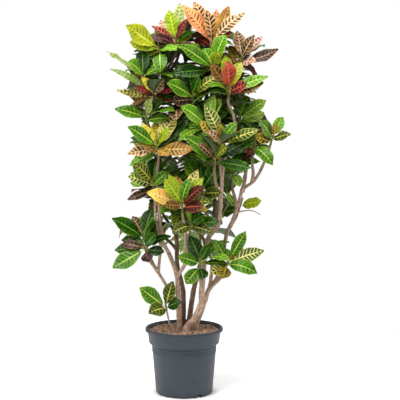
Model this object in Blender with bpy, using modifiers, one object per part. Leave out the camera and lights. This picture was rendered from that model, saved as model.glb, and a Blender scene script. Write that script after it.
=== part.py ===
"""A potted croton: a nursery pot of moulded plastic filled with peat, six woody stems that fork
into branches, and a rosette of broad leaves at the end of each branch. Metres, +Z up; the origin
is the centre of the pot's underside and the side seen first is -Y."""
import math
import random

import bmesh
import bpy
from mathutils import Matrix, Vector
from mathutils.bvhtree import BVHTree

# Pot
POT_HEIGHT = 0.250
RIM_RADIUS = 0.147
COLLAR_RADIUS = 0.138
COLLAR_DEPTH = 0.055
BODY_TOP_RADIUS = 0.123
BODY_FOOT_RADIUS = 0.107
POT_WALL = 0.003
POT_SIDES = 24
DRAIN_NOTCHES = 3
DRAIN_AZIMUTH = math.radians(-57)
DRAIN_WIDTH = 0.026
DRAIN_HEIGHT = 0.006

# Peat
SOIL_TOP = 0.240
SOIL_EDGE_DROP = 0.006
HOLE_FLOOR = 0.180
HOLE_SIDES = 8
FIT_GAP = 0.0003

# Wood
BRANCH_RADIUS = 0.0048
BRANCH_MAX_RADIUS = 0.008
SHOOT_RADIUS = 0.0045
SHOOT_TIP_RADIUS = 0.0030
SHOOT_LENGTH = 0.048
SHORT_SHOOT = 0.030
STRAIGHT_END = 0.015
CROWN_RISE = 0.020
STEM_ROUNDING = 2
BRANCH_ROUNDING = 0
SHOOT_ROUNDING = 0

# Leaf
RIB_DEPTH = 0.0022
PETIOLE_HALF_WIDTH = 0.0015
PETIOLE_SHARE = 0.12
SEEN_STATIONS = (0.0, 0.115, 0.33, 0.60, 0.84, 1.0)
GROWN_STATIONS = (0.0, 0.115, 0.40, 0.76, 1.0)
EDGE_WAVE = 0.0025
BLADE_FULLNESS = 0.55
LEAF_WIDTH = 0.064
LEAF_LENGTH = (0.112, 0.165)
LOWEST_LEAF_POINT = 0.262
CLEARANCE = 0.0009
GOLDEN_ANGLE = math.radians(137.5)
LEAF_COLOURS = {
    "green": (0.020, 0.085, 0.018),
    "lime": (0.200, 0.340, 0.030),
    "gold": (0.420, 0.330, 0.030),
    "orange": (0.520, 0.170, 0.030),
    "red": (0.280, 0.030, 0.025),
    "bronze": (0.080, 0.050, 0.025),
}
VIEWER = Vector((0.0, -1.0, 0.0))
UP = Vector((0.0, 0.0, 1.0))
# Where the plant was looked at from when its places were measured
EYE = Vector((0.060, -4.200, 1.130))

# Each limb: stem it belongs to, limb it forks from and the height of the fork, radius at its
# start and end, and the way its centre line goes
LIMBS = {
    "left": ("stem_left", None, 0, 0.0112, 0.0050, (
        (-0.017, -0.022, 0.1803), (-0.017, -0.022, 0.252), (-0.020, -0.026, 0.320),
        (-0.023, -0.030, 0.390), (-0.028, -0.030, 0.456), (-0.054, -0.038, 0.531),
        (-0.080, -0.045, 0.583), (-0.088, -0.052, 0.650), (-0.093, -0.062, 0.740),
        (-0.099, -0.072, 0.816))),
    "left_fork": ("stem_left", "left", 0.448, 0.0076, 0.0050, (
        (0.003, -0.045, 0.496), (0.006, -0.062, 0.560), (0.007, -0.086, 0.620))),
    "low_left": ("stem_left", "left", 0.345, 0.0070, 0.0048, (
        (-0.049, -0.030, 0.385), (-0.070, -0.034, 0.420), (-0.097, -0.038, 0.466),
        (-0.120, -0.034, 0.506))),
    "low_left_twig": ("stem_left", "low_left", 0.466, 0.0056, 0.0048, (
        (-0.090, -0.044, 0.520), (-0.088, -0.050, 0.585), (-0.104, -0.064, 0.665))),
    "back_left": ("stem_back_left", None, 0, 0.0106, 0.0050, (
        (-0.004, 0.030, 0.1803), (-0.004, 0.030, 0.252), (-0.005, 0.030, 0.385),
        (-0.026, 0.032, 0.478), (-0.029, 0.034, 0.583), (-0.052, 0.040, 0.722),
        (-0.090, 0.048, 0.872), (-0.104, 0.046, 1.003), (-0.096, 0.036, 1.097),
        (-0.074, 0.022, 1.190))),
    "back": ("stem_back", None, 0, 0.0110, 0.0050, (
        (0.018, 0.014, 0.1803), (0.018, 0.014, 0.252), (0.030, 0.015, 0.351),
        (0.045, 0.022, 0.426), (0.090, 0.040, 0.580), (0.110, 0.043, 0.621),
        (0.116, 0.042, 0.733), (0.100, 0.032, 0.880), (0.070, 0.026, 1.000),
        (0.080, 0.022, 1.100), (0.098, 0.012, 1.200))),
    "front": ("stem_front", None, 0, 0.0132, 0.0050, (
        (0.010, -0.044, 0.1803), (0.010, -0.044, 0.252), (0.038, -0.046, 0.290),
        (0.063, -0.048, 0.345), (0.068, -0.050, 0.416), (0.086, -0.050, 0.580),
        (0.127, -0.052, 0.643), (0.135, -0.055, 0.715), (0.139, -0.058, 0.771),
        (0.148, -0.058, 0.876), (0.176, -0.058, 0.947), (0.190, -0.058, 0.995),
        (0.182, -0.060, 1.050))),
    "right": ("stem_right", None, 0, 0.0108, 0.0050, (
        (0.044, -0.010, 0.1803), (0.044, -0.010, 0.252), (0.067, -0.009, 0.317),
        (0.090, -0.008, 0.388), (0.126, -0.006, 0.441), (0.144, -0.004, 0.516),
        (0.160, -0.002, 0.602), (0.182, 0.000, 0.655), (0.204, 0.000, 0.715),
        (0.220, 0.000, 0.770), (0.263, -0.004, 0.806), (0.295, -0.006, 0.863))),
    "right_back": ("stem_right", "right", 0.350, 0.0080, 0.0050, (
        (0.094, 0.006, 0.395), (0.103, 0.016, 0.450), (0.102, 0.026, 0.510))),
    "bare_twig": ("stem_right", "right", 0.684, 0.0032, 0.0012, (
        (0.232, 0.004, 0.692), (0.262, 0.002, 0.690), (0.288, -0.002, 0.676))),
    "right_fork": ("stem_right", "right", 0.762, 0.0075, 0.0050, (
        (0.231, 0.012, 0.831), (0.227, 0.034, 0.920), (0.214, 0.052, 1.000),
        (0.206, 0.042, 1.100))),
    "front_shoot": ("shoot_front_left", None, 0, 0.0034, 0.0032, (
        (-0.038, -0.050, 0.1803), (-0.038, -0.050, 0.252), (-0.054, -0.060, 0.277))),
}

# Each rosette: colour group, limb, height at which its branch leaves the limb (None where it
# ends the limb), crown, and the leaves of the side seen first as the way from the crown to the
# leaf's tip and the blade's width
ROSETTES = {
    "top_orange": ("orange", "back", None, (0.102, 0.000, 1.312), (
        (-0.106, -0.020, 0.143, 0.052), (-0.063, 0.020, 0.158, 0.045),
        (-0.017, -0.025, 0.124, 0.048), (0.021, 0.035, 0.129, 0.030),
        (0.065, 0.020, 0.139, 0.040), (0.124, -0.010, 0.113, 0.042),
        (-0.059, 0.060, 0.025, 0.046))),
    "top_green": ("lime", "back_left", None, (-0.030, -0.010, 1.317), (
        (-0.026, 0.025, 0.117, 0.044), (0.018, 0.055, 0.145, 0.037),
        (-0.088, -0.020, 0.062, 0.028), (0.043, -0.025, 0.086, 0.028),
        (-0.058, 0.050, 0.083, 0.038), (-0.090, -0.040, 0.023, 0.036),
        (0.056, 0.070, 0.040, 0.040))),
    "left_lime": ("lime", "back_left", 1.150, (-0.091, -0.030, 1.296), (
        (-0.119, -0.040, 0.086, 0.066), (-0.111, -0.010, 0.023, 0.045),
        (0.006, -0.070, -0.089, 0.044), (0.025, 0.020, -0.043, 0.040))),
    "right_brown": ("bronze", "right_fork", None, (0.213, 0.010, 1.253), (
        (-0.017, 0.030, 0.110, 0.042), (0.048, -0.015, 0.092, 0.038),
        (0.079, 0.040, 0.089, 0.026), (0.138, 0.000, 0.040, 0.040),
        (-0.047, 0.050, 0.055, 0.042), (0.054, -0.060, -0.005, 0.036))),
    "right_red": ("red", "front", None, (0.167, -0.060, 1.138), (
        (-0.004, -0.035, 0.111, 0.052), (-0.015, 0.000, 0.133, 0.044),
        (0.044, 0.040, 0.111, 0.040), (0.145, -0.010, 0.056, 0.036),
        (0.069, -0.045, 0.027, 0.044), (0.129, -0.020, 0.032, 0.046),
        (-0.070, -0.010, 0.103, 0.042))),
    "upper_centre": ("green", "back", 1.080, (0.110, -0.020, 1.227), (
        (0.043, -0.030, 0.120, 0.056), (0.015, -0.050, 0.060, 0.036),
        (-0.129, -0.060, 0.083, 0.046), (-0.040, 0.050, 0.070, 0.048),
        (-0.154, -0.060, -0.023, 0.045))),
    "left_upper": ("lime", "back_left", 1.100, (-0.151, -0.050, 1.194), (
        (-0.053, -0.060, 0.055, 0.050), (-0.133, 0.020, 0.092, 0.040),
        (-0.001, 0.030, 0.098, 0.045))),
    "left_red": ("red", "back_left", 0.985, (-0.113, -0.030, 1.123), (
        (-0.161, -0.020, 0.097, 0.023), (-0.072, -0.060, 0.026, 0.029),
        (-0.044, -0.020, 0.066, 0.030), (0.040, -0.020, 0.059, 0.038),
        (-0.137, 0.010, 0.021, 0.022))),
    "centre_upper": ("green", "back", 0.995, (0.033, -0.040, 1.118), (
        (-0.094, -0.070, 0.052, 0.052), (-0.017, 0.040, 0.106, 0.044),
        (0.027, -0.040, 0.079, 0.034), (-0.076, -0.030, -0.020, 0.045))),
    "left_mid": ("green", "back_left", 0.930, (-0.140, -0.020, 1.040), (
        (-0.116, -0.030, 0.035, 0.040), (0.020, -0.040, 0.072, 0.036),
        (-0.052, 0.050, 0.050, 0.036), (0.078, -0.050, -0.001, 0.032))),
    "centre_mid": ("green", "front", 0.860, (0.083, -0.060, 1.011), (
        (-0.091, -0.060, 0.071, 0.052), (0.030, 0.000, 0.112, 0.038),
        (0.054, 0.010, 0.103, 0.038), (-0.052, 0.030, 0.118, 0.044))),
    "centre_veined": ("gold", "front", 0.790, (0.141, -0.090, 0.940), (
        (-0.062, -0.030, 0.147, 0.046), (-0.081, -0.050, 0.088, 0.036),
        (-0.055, -0.060, 0.052, 0.034), (0.142, -0.040, 0.057, 0.036),
        (-0.017, -0.030, 0.082, 0.032))),
    "right_big": ("green", "right_fork", 0.880, (0.203, 0.020, 1.029), (
        (0.105, -0.020, 0.077, 0.045), (0.098, 0.030, 0.032, 0.050),
        (0.039, 0.040, 0.091, 0.046))),
    "far_right": ("green", "right", None, (0.329, -0.010, 0.962), (
        (-0.044, -0.050, 0.066, 0.046), (0.068, -0.040, 0.018, 0.034),
        (0.040, 0.020, 0.083, 0.036), (0.010, 0.000, 0.058, 0.030),
        (-0.068, -0.020, 0.008, 0.036))),
    "right_low": ("green", "right", 0.800, (0.263, -0.040, 0.938), (
        (0.069, -0.060, -0.077, 0.046), (-0.027, -0.030, -0.031, 0.034))),
    "left_centre": ("gold", "left", None, (-0.099, -0.080, 0.931), (
        (-0.106, -0.050, 0.077, 0.046), (-0.060, 0.010, 0.089, 0.027),
        (0.066, 0.030, 0.118, 0.050), (0.046, -0.040, 0.072, 0.028),
        (0.116, 0.040, 0.119, 0.056), (0.132, -0.030, -0.009, 0.048),
        (-0.111, -0.050, -0.025, 0.038), (0.041, -0.080, -0.032, 0.032),
        (-0.041, -0.070, -0.015, 0.030), (-0.106, 0.010, -0.072, 0.030))),
    "right_centre": ("green", "front", 0.730, (0.116, -0.090, 0.885), (
        (-0.112, -0.050, 0.085, 0.050), (-0.063, -0.060, 0.060, 0.032),
        (0.046, -0.070, 0.049, 0.036), (0.142, -0.020, 0.076, 0.046),
        (0.137, -0.050, -0.033, 0.038))),
    "left_low_mid": ("green", "low_left_twig", None, (-0.115, -0.070, 0.789), (
        (-0.070, -0.030, 0.082, 0.045), (-0.095, -0.050, 0.033, 0.045),
        (0.011, 0.020, 0.107, 0.056), (0.053, -0.020, 0.049, 0.032),
        (-0.097, -0.020, -0.055, 0.028))),
    "centre_yellow": ("gold", "left_fork", None, (-0.007, -0.130, 0.713), (
        (-0.130, -0.050, 0.050, 0.048), (-0.067, -0.030, 0.098, 0.044),
        (-0.050, 0.010, 0.116, 0.036), (0.060, 0.030, 0.134, 0.036),
        (0.030, -0.020, 0.102, 0.032), (0.079, -0.010, 0.105, 0.038),
        (0.079, -0.050, 0.073, 0.038), (-0.067, -0.070, 0.001, 0.034),
        (0.080, -0.060, -0.005, 0.045))),
    "centre_dark": ("green", "front", 0.620, (0.070, -0.040, 0.770), (
        (-0.011, 0.020, 0.101, 0.052), (0.059, 0.000, 0.094, 0.045),
        (0.070, -0.060, -0.011, 0.040), (-0.063, 0.020, 0.120, 0.052))),
    "right_inner": ("green", "right", 0.700, (0.184, 0.010, 0.845), (
        (0.026, -0.040, -0.064, 0.034), (-0.060, 0.040, 0.060, 0.046))),
    "right_small": ("lime", "right", 0.628, (0.212, 0.030, 0.715), (
        (0.078, -0.040, 0.013, 0.041), (-0.054, -0.050, 0.043, 0.029),
        (-0.067, 0.040, -0.032, 0.042))),
    "low_left_up": ("green", "low_left", None, (-0.149, -0.028, 0.585), (
        (-0.122, -0.050, 0.078, 0.052), (0.032, 0.010, 0.119, 0.052),
        (0.046, -0.050, 0.068, 0.046), (-0.045, 0.040, 0.089, 0.034))),
    "low_left": ("green", "low_left", 0.468, (-0.150, -0.076, 0.557), (
        (-0.119, -0.040, -0.082, 0.054), (-0.113, 0.010, -0.013, 0.036),
        (0.046, -0.040, 0.051, 0.036), (0.076, -0.020, -0.021, 0.034),
        (0.015, 0.020, -0.060, 0.038), (-0.088, 0.030, 0.011, 0.030))),
    "centre_low": ("green", "left_fork", 0.505, (0.024, -0.110, 0.642), (
        (-0.069, -0.060, -0.036, 0.038), (0.108, -0.020, 0.010, 0.038),
        (0.057, -0.040, 0.035, 0.038), (0.084, -0.040, -0.033, 0.034))),
    "centre_low_dark": ("green", "front", 0.400, (0.060, -0.100, 0.496), (
        (-0.039, -0.010, 0.101, 0.048), (-0.084, -0.050, 0.023, 0.042),
        (0.035, -0.010, 0.067, 0.032), (-0.054, -0.020, -0.082, 0.044),
        (0.013, 0.000, -0.067, 0.040))),
    "low_right": ("gold", "right", 0.395, (0.164, -0.085, 0.496), (
        (0.068, 0.000, 0.119, 0.038), (0.138, -0.030, 0.046, 0.044),
        (0.113, -0.040, -0.042, 0.045), (-0.018, -0.060, -0.059, 0.042),
        (-0.065, -0.050, -0.043, 0.034), (-0.051, -0.020, 0.088, 0.030))),
    "bottom_left": ("green", "front_shoot", None, (-0.068, -0.070, 0.323), (
        (-0.100, -0.020, 0.077, 0.052), (0.026, 0.000, 0.102, 0.042),
        (-0.067, -0.060, -0.021, 0.050), (0.056, -0.030, 0.025, 0.040))),
    "rear_top_left": ("green", "back_left", 1.110, (-0.070, 0.140, 1.225), ()),
    "rear_top_right": ("lime", "back", 1.050, (0.090, 0.150, 1.180), ()),
    "rear_crown": ("orange", "back_left", 1.170, (-0.010, 0.090, 1.320), ()),
    "rear_right_high": ("red", "right_fork", 0.960, (0.190, 0.130, 1.090), ()),
    "rear_left_high": ("bronze", "back_left", 0.960, (-0.165, 0.110, 1.075), ()),
    "rear_centre_high": ("green", "back", 0.900, (0.015, 0.150, 1.010), ()),
    "rear_left_mid": ("green", "back_left", 0.790, (-0.110, 0.150, 0.905), ()),
    "rear_centre_mid": ("gold", "back", 0.770, (0.110, 0.160, 0.890), ()),
    "rear_right_mid": ("green", "right_fork", 0.815, (0.250, 0.110, 0.920), ()),
    "rear_left_inner": ("green", "back_left", 0.640, (-0.020, 0.150, 0.775), ()),
    "rear_right_inner": ("green", "back", 0.630, (0.165, 0.130, 0.745), ()),
    "rear_left_low": ("gold", "back_left", 0.540, (-0.120, 0.110, 0.665), ()),
    "rear_centre_low": ("green", "right_back", None, (0.060, 0.140, 0.600), ()),
    "inner_top": ("green", "back", 1.060, (0.055, 0.070, 1.180), ()),
    "inner_top_right": ("green", "right_fork", 1.050, (0.150, 0.060, 1.190), ()),
    "inner_top_left": ("green", "back_left", 1.010, (-0.160, 0.020, 1.165), ()),
    "inner_high": ("bronze", "back", 0.930, (-0.010, 0.040, 1.060), ()),
    "inner_right": ("green", "front", 0.905, (0.130, 0.010, 1.055), ()),
    "inner_left": ("green", "back_left", 0.850, (-0.040, 0.020, 0.965), ()),
    "inner_centre": ("green", "back", 0.740, (0.040, 0.030, 0.870), ()),
    "inner_left_low": ("bronze", "back_left", 0.600, (-0.100, 0.030, 0.735), ()),
    "inner_low": ("green", "back", 0.560, (0.030, 0.050, 0.690), ()),
}
# Leaves that show the front their edge more than their face
EDGE_ON = {"left_upper": (1,), "left_mid": (2,)}
# Leaves that bow more or less than the others, as a share of their length
BOWS = {
    ("left_lime", 0): -0.09, ("left_lime", 2): 0.16, ("right_low", 0): 0.20,
    ("right_inner", 0): 0.16, ("centre_low", 0): 0.16, ("right_brown", 3): -0.16,
    ("left_centre", 0): -0.04, ("low_left", 0): -0.04, ("right_red", 0): -0.04,
    ("left_upper", 1): -0.05, ("left_red", 4): -0.12, ("left_red", 0): 0.03,
    ("low_right", 0): -0.12, ("low_right", 2): 0.13, ("right_small", 0): -0.04,
    ("right_small", 1): -0.10, ("bottom_left", 0): -0.06,
    ("bottom_left", 2): 0.08, ("left_low_mid", 4): -0.06}
# The crown's edge as it looks from the front, measured round it clockwise from its top
CROWN_EDGE = (
    (0.060, 1.462), (0.115, 1.436), (0.189, 1.443), (0.230, 1.421), (0.211, 1.370), (0.289, 1.334),
    (0.319, 1.282), (0.245, 1.238), (0.290, 1.187), (0.268, 1.128), (0.305, 1.102), (0.291, 1.046),
    (0.343, 1.035), (0.377, 0.979), (0.329, 0.920), (0.306, 0.879), (0.262, 0.871), (0.224, 0.837),
    (0.186, 0.800), (0.134, 0.785), (0.134, 0.732), (0.262, 0.721), (0.202, 0.698), (0.165, 0.702),
    (0.152, 0.640), (0.150, 0.575), (0.222, 0.596), (0.226, 0.543), (0.293, 0.536), (0.271, 0.460), (0.143, 0.448),
    (0.090, 0.467), (0.045, 0.410), (0.000, 0.460), (-0.023, 0.536), (-0.075, 0.558), (-0.091, 0.505),
    (-0.143, 0.513), (-0.249, 0.479), (-0.226, 0.543), (-0.248, 0.574), (-0.267, 0.649), (-0.180, 0.653),
    (-0.131, 0.702), (-0.127, 0.744), (-0.198, 0.740), (-0.206, 0.815), (-0.201, 0.864), (-0.164, 0.890),
    (-0.205, 0.912), (-0.201, 0.987), (-0.148, 1.020), (-0.241, 1.072), (-0.170, 1.105), (-0.233, 1.142),
    (-0.185, 1.165), (-0.222, 1.209), (-0.207, 1.260), (-0.177, 1.297), (-0.202, 1.370), (-0.162, 1.378),
    (-0.117, 1.348), (-0.114, 1.385), (-0.073, 1.421), (-0.006, 1.462))
REAR_LEAVES = 7
FILL_LEAVES = 3
FEWER_LEAVES = {"bottom_left": 0, "far_right": 1}
SEEN_WIDTH_SCALE = 1.2
FACE_LEAN = 1.6
EDGE_LEAN = 0.4


def on_sight_line(place):
    """A place given as it looks from the front on the pot's own plane, at its own depth."""
    flat = Vector((place[0], 0, place[2]))
    return flat + (EYE - flat) * (place[1] / EYE.y)


def point_at_height(route, height):
    """The point of a centre line at a height, and the way the line runs there."""
    for low, high in zip(route, route[1:]):
        if low.z <= height <= high.z:
            share = (height - low.z) / (high.z - low.z)
            return low.lerp(high, share), (high - low).normalized()
    return route[-1].copy(), (route[-1] - route[-2]).normalized()


def shoot_of(crown, foot, length):
    """Axis and base of the leafy shoot whose leaves meet at a crown."""
    outward = Vector((crown.x, crown.y, 0)).normalized()
    axis = ((crown - foot).normalized() * 0.6 + UP * 0.8 + outward * 0.2).normalized()
    return axis, crown + axis * (CROWN_RISE - length)


def lay_out_wood():
    """Routes and radii of limbs and branches, and the shoot of each rosette."""
    routes = {}
    for limb, (stem, parent, fork, start_radius, end_radius, way) in LIMBS.items():
        points = [Vector(point) for point in way]
        if parent:
            points.insert(0, point_at_height(routes[parent], fork)[0])
        routes[limb] = points
    shoots = {}
    branches = {}
    for name, (colour, limb, height, crown, seen) in ROSETTES.items():
        crown = on_sight_line(crown)
        length = SHORT_SHOOT if limb == "front_shoot" else SHOOT_LENGTH
        if height is None:
            foot = routes[limb][-1].copy()
            axis, base = shoot_of(crown, foot, length)
            end = base - axis * FIT_GAP
            routes[limb] += [end - axis * STRAIGHT_END, end]
        else:
            foot, way = point_at_height(routes[limb], height)
            axis, base = shoot_of(crown, foot, length)
            end = base - axis * FIT_GAP
            turn = end - axis * STRAIGHT_END
            reach = (turn - foot).length
            leaving = (way * 0.5 + (turn - foot).normalized()).normalized() * reach
            arriving = axis * reach
            points = [hermite(foot, turn, leaving, arriving, share) for share in (0, 0.35, 0.7, 1)]
            branches[name] = points + [end]
        shoots[name] = (base, axis, length)
    return routes, branches, shoots


def hermite(start, end, leaving, arriving, share):
    """A point on the cubic that leaves and arrives along the two given ways."""
    square = share * share
    cube = square * share
    return (start * (2 * cube - 3 * square + 1) + leaving * (cube - 2 * square + share)
            + end * (3 * square - 2 * cube) + arriving * (cube - square))


def limb_radii(limb, route):
    """Radius at each point of a limb, wide at the soil and thin at the end."""
    stem, parent, fork, start_radius, end_radius, way = LIMBS[limb]
    lengths = [0.0]
    for low, high in zip(route, route[1:]):
        lengths.append(lengths[-1] + (high - low).length)
    radii = [start_radius + (end_radius - start_radius) * (length / lengths[-1]) ** 0.8
             for length in lengths]
    return radii


def branch_radii(name, points):
    """Radius at each point of a branch."""
    limb = ROSETTES[name][1]
    first = min(BRANCH_MAX_RADIUS, LIMBS[limb][4] + 0.0012)
    return [first + (BRANCH_RADIUS - first) * share / (len(points) - 1)
            for share in range(len(points))]


def tube_surface(points, radii, sides, extra=0.0):
    """Corners and faces of a closed tube, to test what comes near it."""
    corners = []
    faces = []
    side = Vector((1, 0, 0))
    for number, (point, radius) in enumerate(zip(points, radii)):
        before = points[max(number - 1, 0)]
        after = points[min(number + 1, len(points) - 1)]
        along = (after - before).normalized()
        side = (side - along * side.dot(along)).normalized()
        other = along.cross(side)
        for turn in range(sides):
            angle = 2 * math.pi * turn / sides
            corners.append(point + (side * math.cos(angle) + other * math.sin(angle))
                           * (radius + extra))
    for ring in range(len(points) - 1):
        for turn in range(sides):
            low = ring * sides + turn
            low_next = ring * sides + (turn + 1) % sides
            faces.append((low, low_next, low_next + sides, low + sides))
    faces.append(tuple(range(sides)))
    faces.append(tuple(range(len(corners) - sides, len(corners))))
    return corners, faces


def blade_half_width(share, width):
    """Half the width of a leaf, from the stalk at 0 to the tip at 1."""
    blade = max(0.0, (share - PETIOLE_SHARE) / (1 - PETIOLE_SHARE))
    bulge = math.sin(math.pi * blade ** 0.9) ** BLADE_FULLNESS if 0 < blade < 1 else 0.0
    return max(width * 0.5 * bulge, PETIOLE_HALF_WIDTH * (1 - blade))


class Leaf:
    """A leaf: rib from root to tip, the side its face looks to, width, arch and wave."""

    def __init__(self, root, tip, face, width, arch, wave, stations):
        self.root = root
        self.tip = tip
        chord = tip - root
        self.length = chord.length
        along = chord.normalized()
        self.face = (face - along * face.dot(along)).normalized()
        self.width = width
        self.wave = wave
        self.stations = stations
        self.top = (root + tip) * 0.5 + self.face * self.length * arch * 2

    def rib(self, share):
        """Point on the rib."""
        rest = 1 - share
        return self.root * rest * rest + self.top * 2 * rest * share + self.tip * share * share

    def axes(self, share):
        """Ways along the rib, across the blade and out of its face."""
        along = ((self.top - self.root) * (1 - share) + (self.tip - self.top) * share).normalized()
        across = along.cross(self.face).normalized()
        return along, across, across.cross(along)

    def ripple(self, number):
        """How far the left edge is raised at a station; the right edge is as far down."""
        return EDGE_WAVE * self.wave * (1 if number % 2 else -1) if number > 1 else 0.0

    def surface(self):
        """Corners and faces of the thin blade: flat above, keeled by the rib below, waved at
        its edges, with each stretch split along the line that joins the raised edges."""
        corners = []
        for number, share in enumerate(self.stations[:-1]):
            along, across, out = self.axes(share)
            half = blade_half_width(share, self.width)
            middle = self.rib(share)
            corners.append(middle - across * half + out * self.ripple(number))
            corners.append(middle + across * half - out * self.ripple(number))
            corners.append(middle - out * RIB_DEPTH)
        corners.append(self.tip)
        faces = [(0, 1, 2)]
        rings = len(self.stations) - 1
        for ring in range(rings - 1):
            left, right, rib = (ring * 3 + corner for corner in range(3))
            if (1 if ring % 2 else -1) * self.wave > 0:
                faces += [(left, right + 3, right), (left, left + 3, right + 3)]
                faces += [(left, rib, rib + 3), (left, rib + 3, left + 3)]
                faces += [(rib, right, right + 3), (rib, right + 3, rib + 3)]
            else:
                faces += [(right, left, left + 3), (right, left + 3, right + 3)]
                faces += [(left, rib, left + 3), (rib, rib + 3, left + 3)]
                faces += [(right, right + 3, rib + 3), (right, rib + 3, rib)]
        last = (rings - 1) * 3
        end = rings * 3
        for corner in range(3):
            faces.append((last + corner, end, last + (corner + 1) % 3))
        return corners, faces

    def room(self):
        """The blade with a little air round it, to test whether it fits."""
        corners = []
        for number, share in enumerate(self.stations):
            along, across, out = self.axes(share)
            half = blade_half_width(share, self.width) + CLEARANCE
            end = {0: -1, len(self.stations) - 1: 1}.get(number, 0)
            middle = self.rib(share) + along * CLEARANCE * end
            lift = out * self.ripple(number) if end < 1 else Vector()
            left = middle - across * half + lift
            right = middle + across * half - lift
            air = out * CLEARANCE
            corners += [left + air, right + air, right - air, middle - out * RIB_DEPTH - air,
                        left - air]
        faces = [(0, 1, 2, 3, 4)]
        for ring in range(len(self.stations) - 1):
            top_left, top_right, right, rib, left = (ring * 5 + corner for corner in range(5))
            faces += [(top_left, left, left + 5, top_left + 5)]
            faces += [(right, top_right, top_right + 5, right + 5)]
            if (1 if ring % 2 else -1) * self.wave > 0:
                faces += [(top_left, top_right + 5, top_right)]
                faces += [(top_left, top_left + 5, top_right + 5)]
                faces += [(left, rib, rib + 5), (left, rib + 5, left + 5)]
                faces += [(rib, right, right + 5), (rib, right + 5, rib + 5)]
            else:
                faces += [(top_right, top_left, top_left + 5)]
                faces += [(top_right, top_left + 5, top_right + 5)]
                faces += [(left, rib, left + 5), (rib, rib + 5, left + 5)]
                faces += [(right, right + 5, rib + 5), (right, rib + 5, rib)]
        faces.append(tuple(range(len(corners) - 5, len(corners))))
        return corners, faces


class Space:
    """What is already in the air round the plant, to keep leaves from crossing it."""

    def __init__(self):
        self.taken = []

    def add(self, owner, corners, faces, blade_faces=None):
        tree = BVHTree.FromPolygons(corners, faces)
        blade = BVHTree.FromPolygons(corners, blade_faces) if blade_faces else None
        low = [min(corner[axis] for corner in corners) for axis in range(3)]
        high = [max(corner[axis] for corner in corners) for axis in range(3)]
        self.taken.append((owner, low, high, tree, blade))

    def is_free(self, owner, corners, faces, blade_faces):
        low = [min(corner[axis] for corner in corners) for axis in range(3)]
        high = [max(corner[axis] for corner in corners) for axis in range(3)]
        if low[2] < LOWEST_LEAF_POINT:
            return False
        tree = None
        for other, other_low, other_high, other_tree, other_blade in self.taken:
            if any(low[axis] > other_high[axis] or high[axis] < other_low[axis]
                   for axis in range(3)):
                continue
            if tree is None:
                tree = BVHTree.FromPolygons(corners, faces)
                blade = BVHTree.FromPolygons(corners, blade_faces)
            if other == owner:
                if other_blade and blade.overlap(other_blade):
                    return False
            elif tree.overlap(other_tree):
                return False
        return True


def leaf_face(axis, along, lean):
    """The way a leaf's upper face looks: to the shoot's tip, turned to the light by lean."""
    outward = along - axis * along.dot(axis)
    tilt = math.acos(max(-1.0, min(1.0, along.dot(axis))))
    if outward.length < 1e-6:
        return lean
    return axis * math.sin(tilt) - outward.normalized() * math.cos(tilt) + lean


def root_depth(axis, along, length):
    """How far below the crown a leaf grows: young upright leaves high, spread ones lower."""
    tilt = math.acos(max(-1.0, min(1.0, along.dot(axis))))
    return min(0.006 + 0.026 * tilt / math.radians(110), length - 0.010)


def place(space, owner, leaves, leaf):
    """Keep a leaf if nothing is in its way."""
    corners, faces = leaf.room()
    blade_faces = [face for face in faces if min(face) >= 5]
    if not space.is_free(owner, corners, faces, blade_faces):
        return False
    corners, faces = leaf.surface()
    space.add(owner, corners, faces, [face for face in faces if min(face) >= 3])
    leaves.append(leaf)
    return True


def seen_leaf_tries():
    """Changes to a leaf of the front, the smallest first: depth, roll, arch and size."""
    tries = []
    for depth in (0, 0.012, -0.012, 0.025, -0.025, 0.040, -0.040, 0.060, -0.060, 0.080):
        for roll in (0, 0.35, -0.35, 0.8, -0.8):
            for arch in (0.05, 0.02, 0.12):
                for size in (1.0, 0.9, 0.8):
                    cost = (abs(depth) * 18 + abs(roll) * 0.7 + abs(arch - 0.05) * 3
                            + (1 - size) * 3)
                    tries.append((cost, depth, roll, arch, size))
    return [change[1:] for change in sorted(tries)]


def place_seen_leaves(space, name, shoot, leaves):
    """Leaves of a rosette that the front shows, each to its own tip."""
    base, axis, length = shoot
    crown = base + axis * length
    middle = Vector(ROSETTES[name][3])
    for number, (dx, dy, dz, width) in enumerate(ROSETTES[name][4]):
        wave = 1 if number % 2 else -1
        for depth, roll, arch, size in seen_leaf_tries():
            tip = on_sight_line(middle + Vector((dx, dy + depth, dz)) * size)
            along = (tip - crown).normalized()
            root = crown - axis * (root_depth(axis, along, length) + 0.0015 * (number % 3))
            along = (tip - root).normalized()
            face = leaf_face(axis, along, VIEWER * FACE_LEAN)
            if number in EDGE_ON.get(name, ()):
                face = VIEWER.cross(along) * math.copysign(1, along.x) + VIEWER * EDGE_LEAN
            face = Matrix.Rotation(roll, 3, along) @ face
            bow = arch + BOWS.get((name, number), 0.0)
            leaf = Leaf(root, tip, face, width * size * SEEN_WIDTH_SCALE, bow, wave,
                        SEEN_STATIONS)
            if place(space, name, leaves, leaf):
                break
        else:
            print("no room for leaf", number, "of", name)


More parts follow.
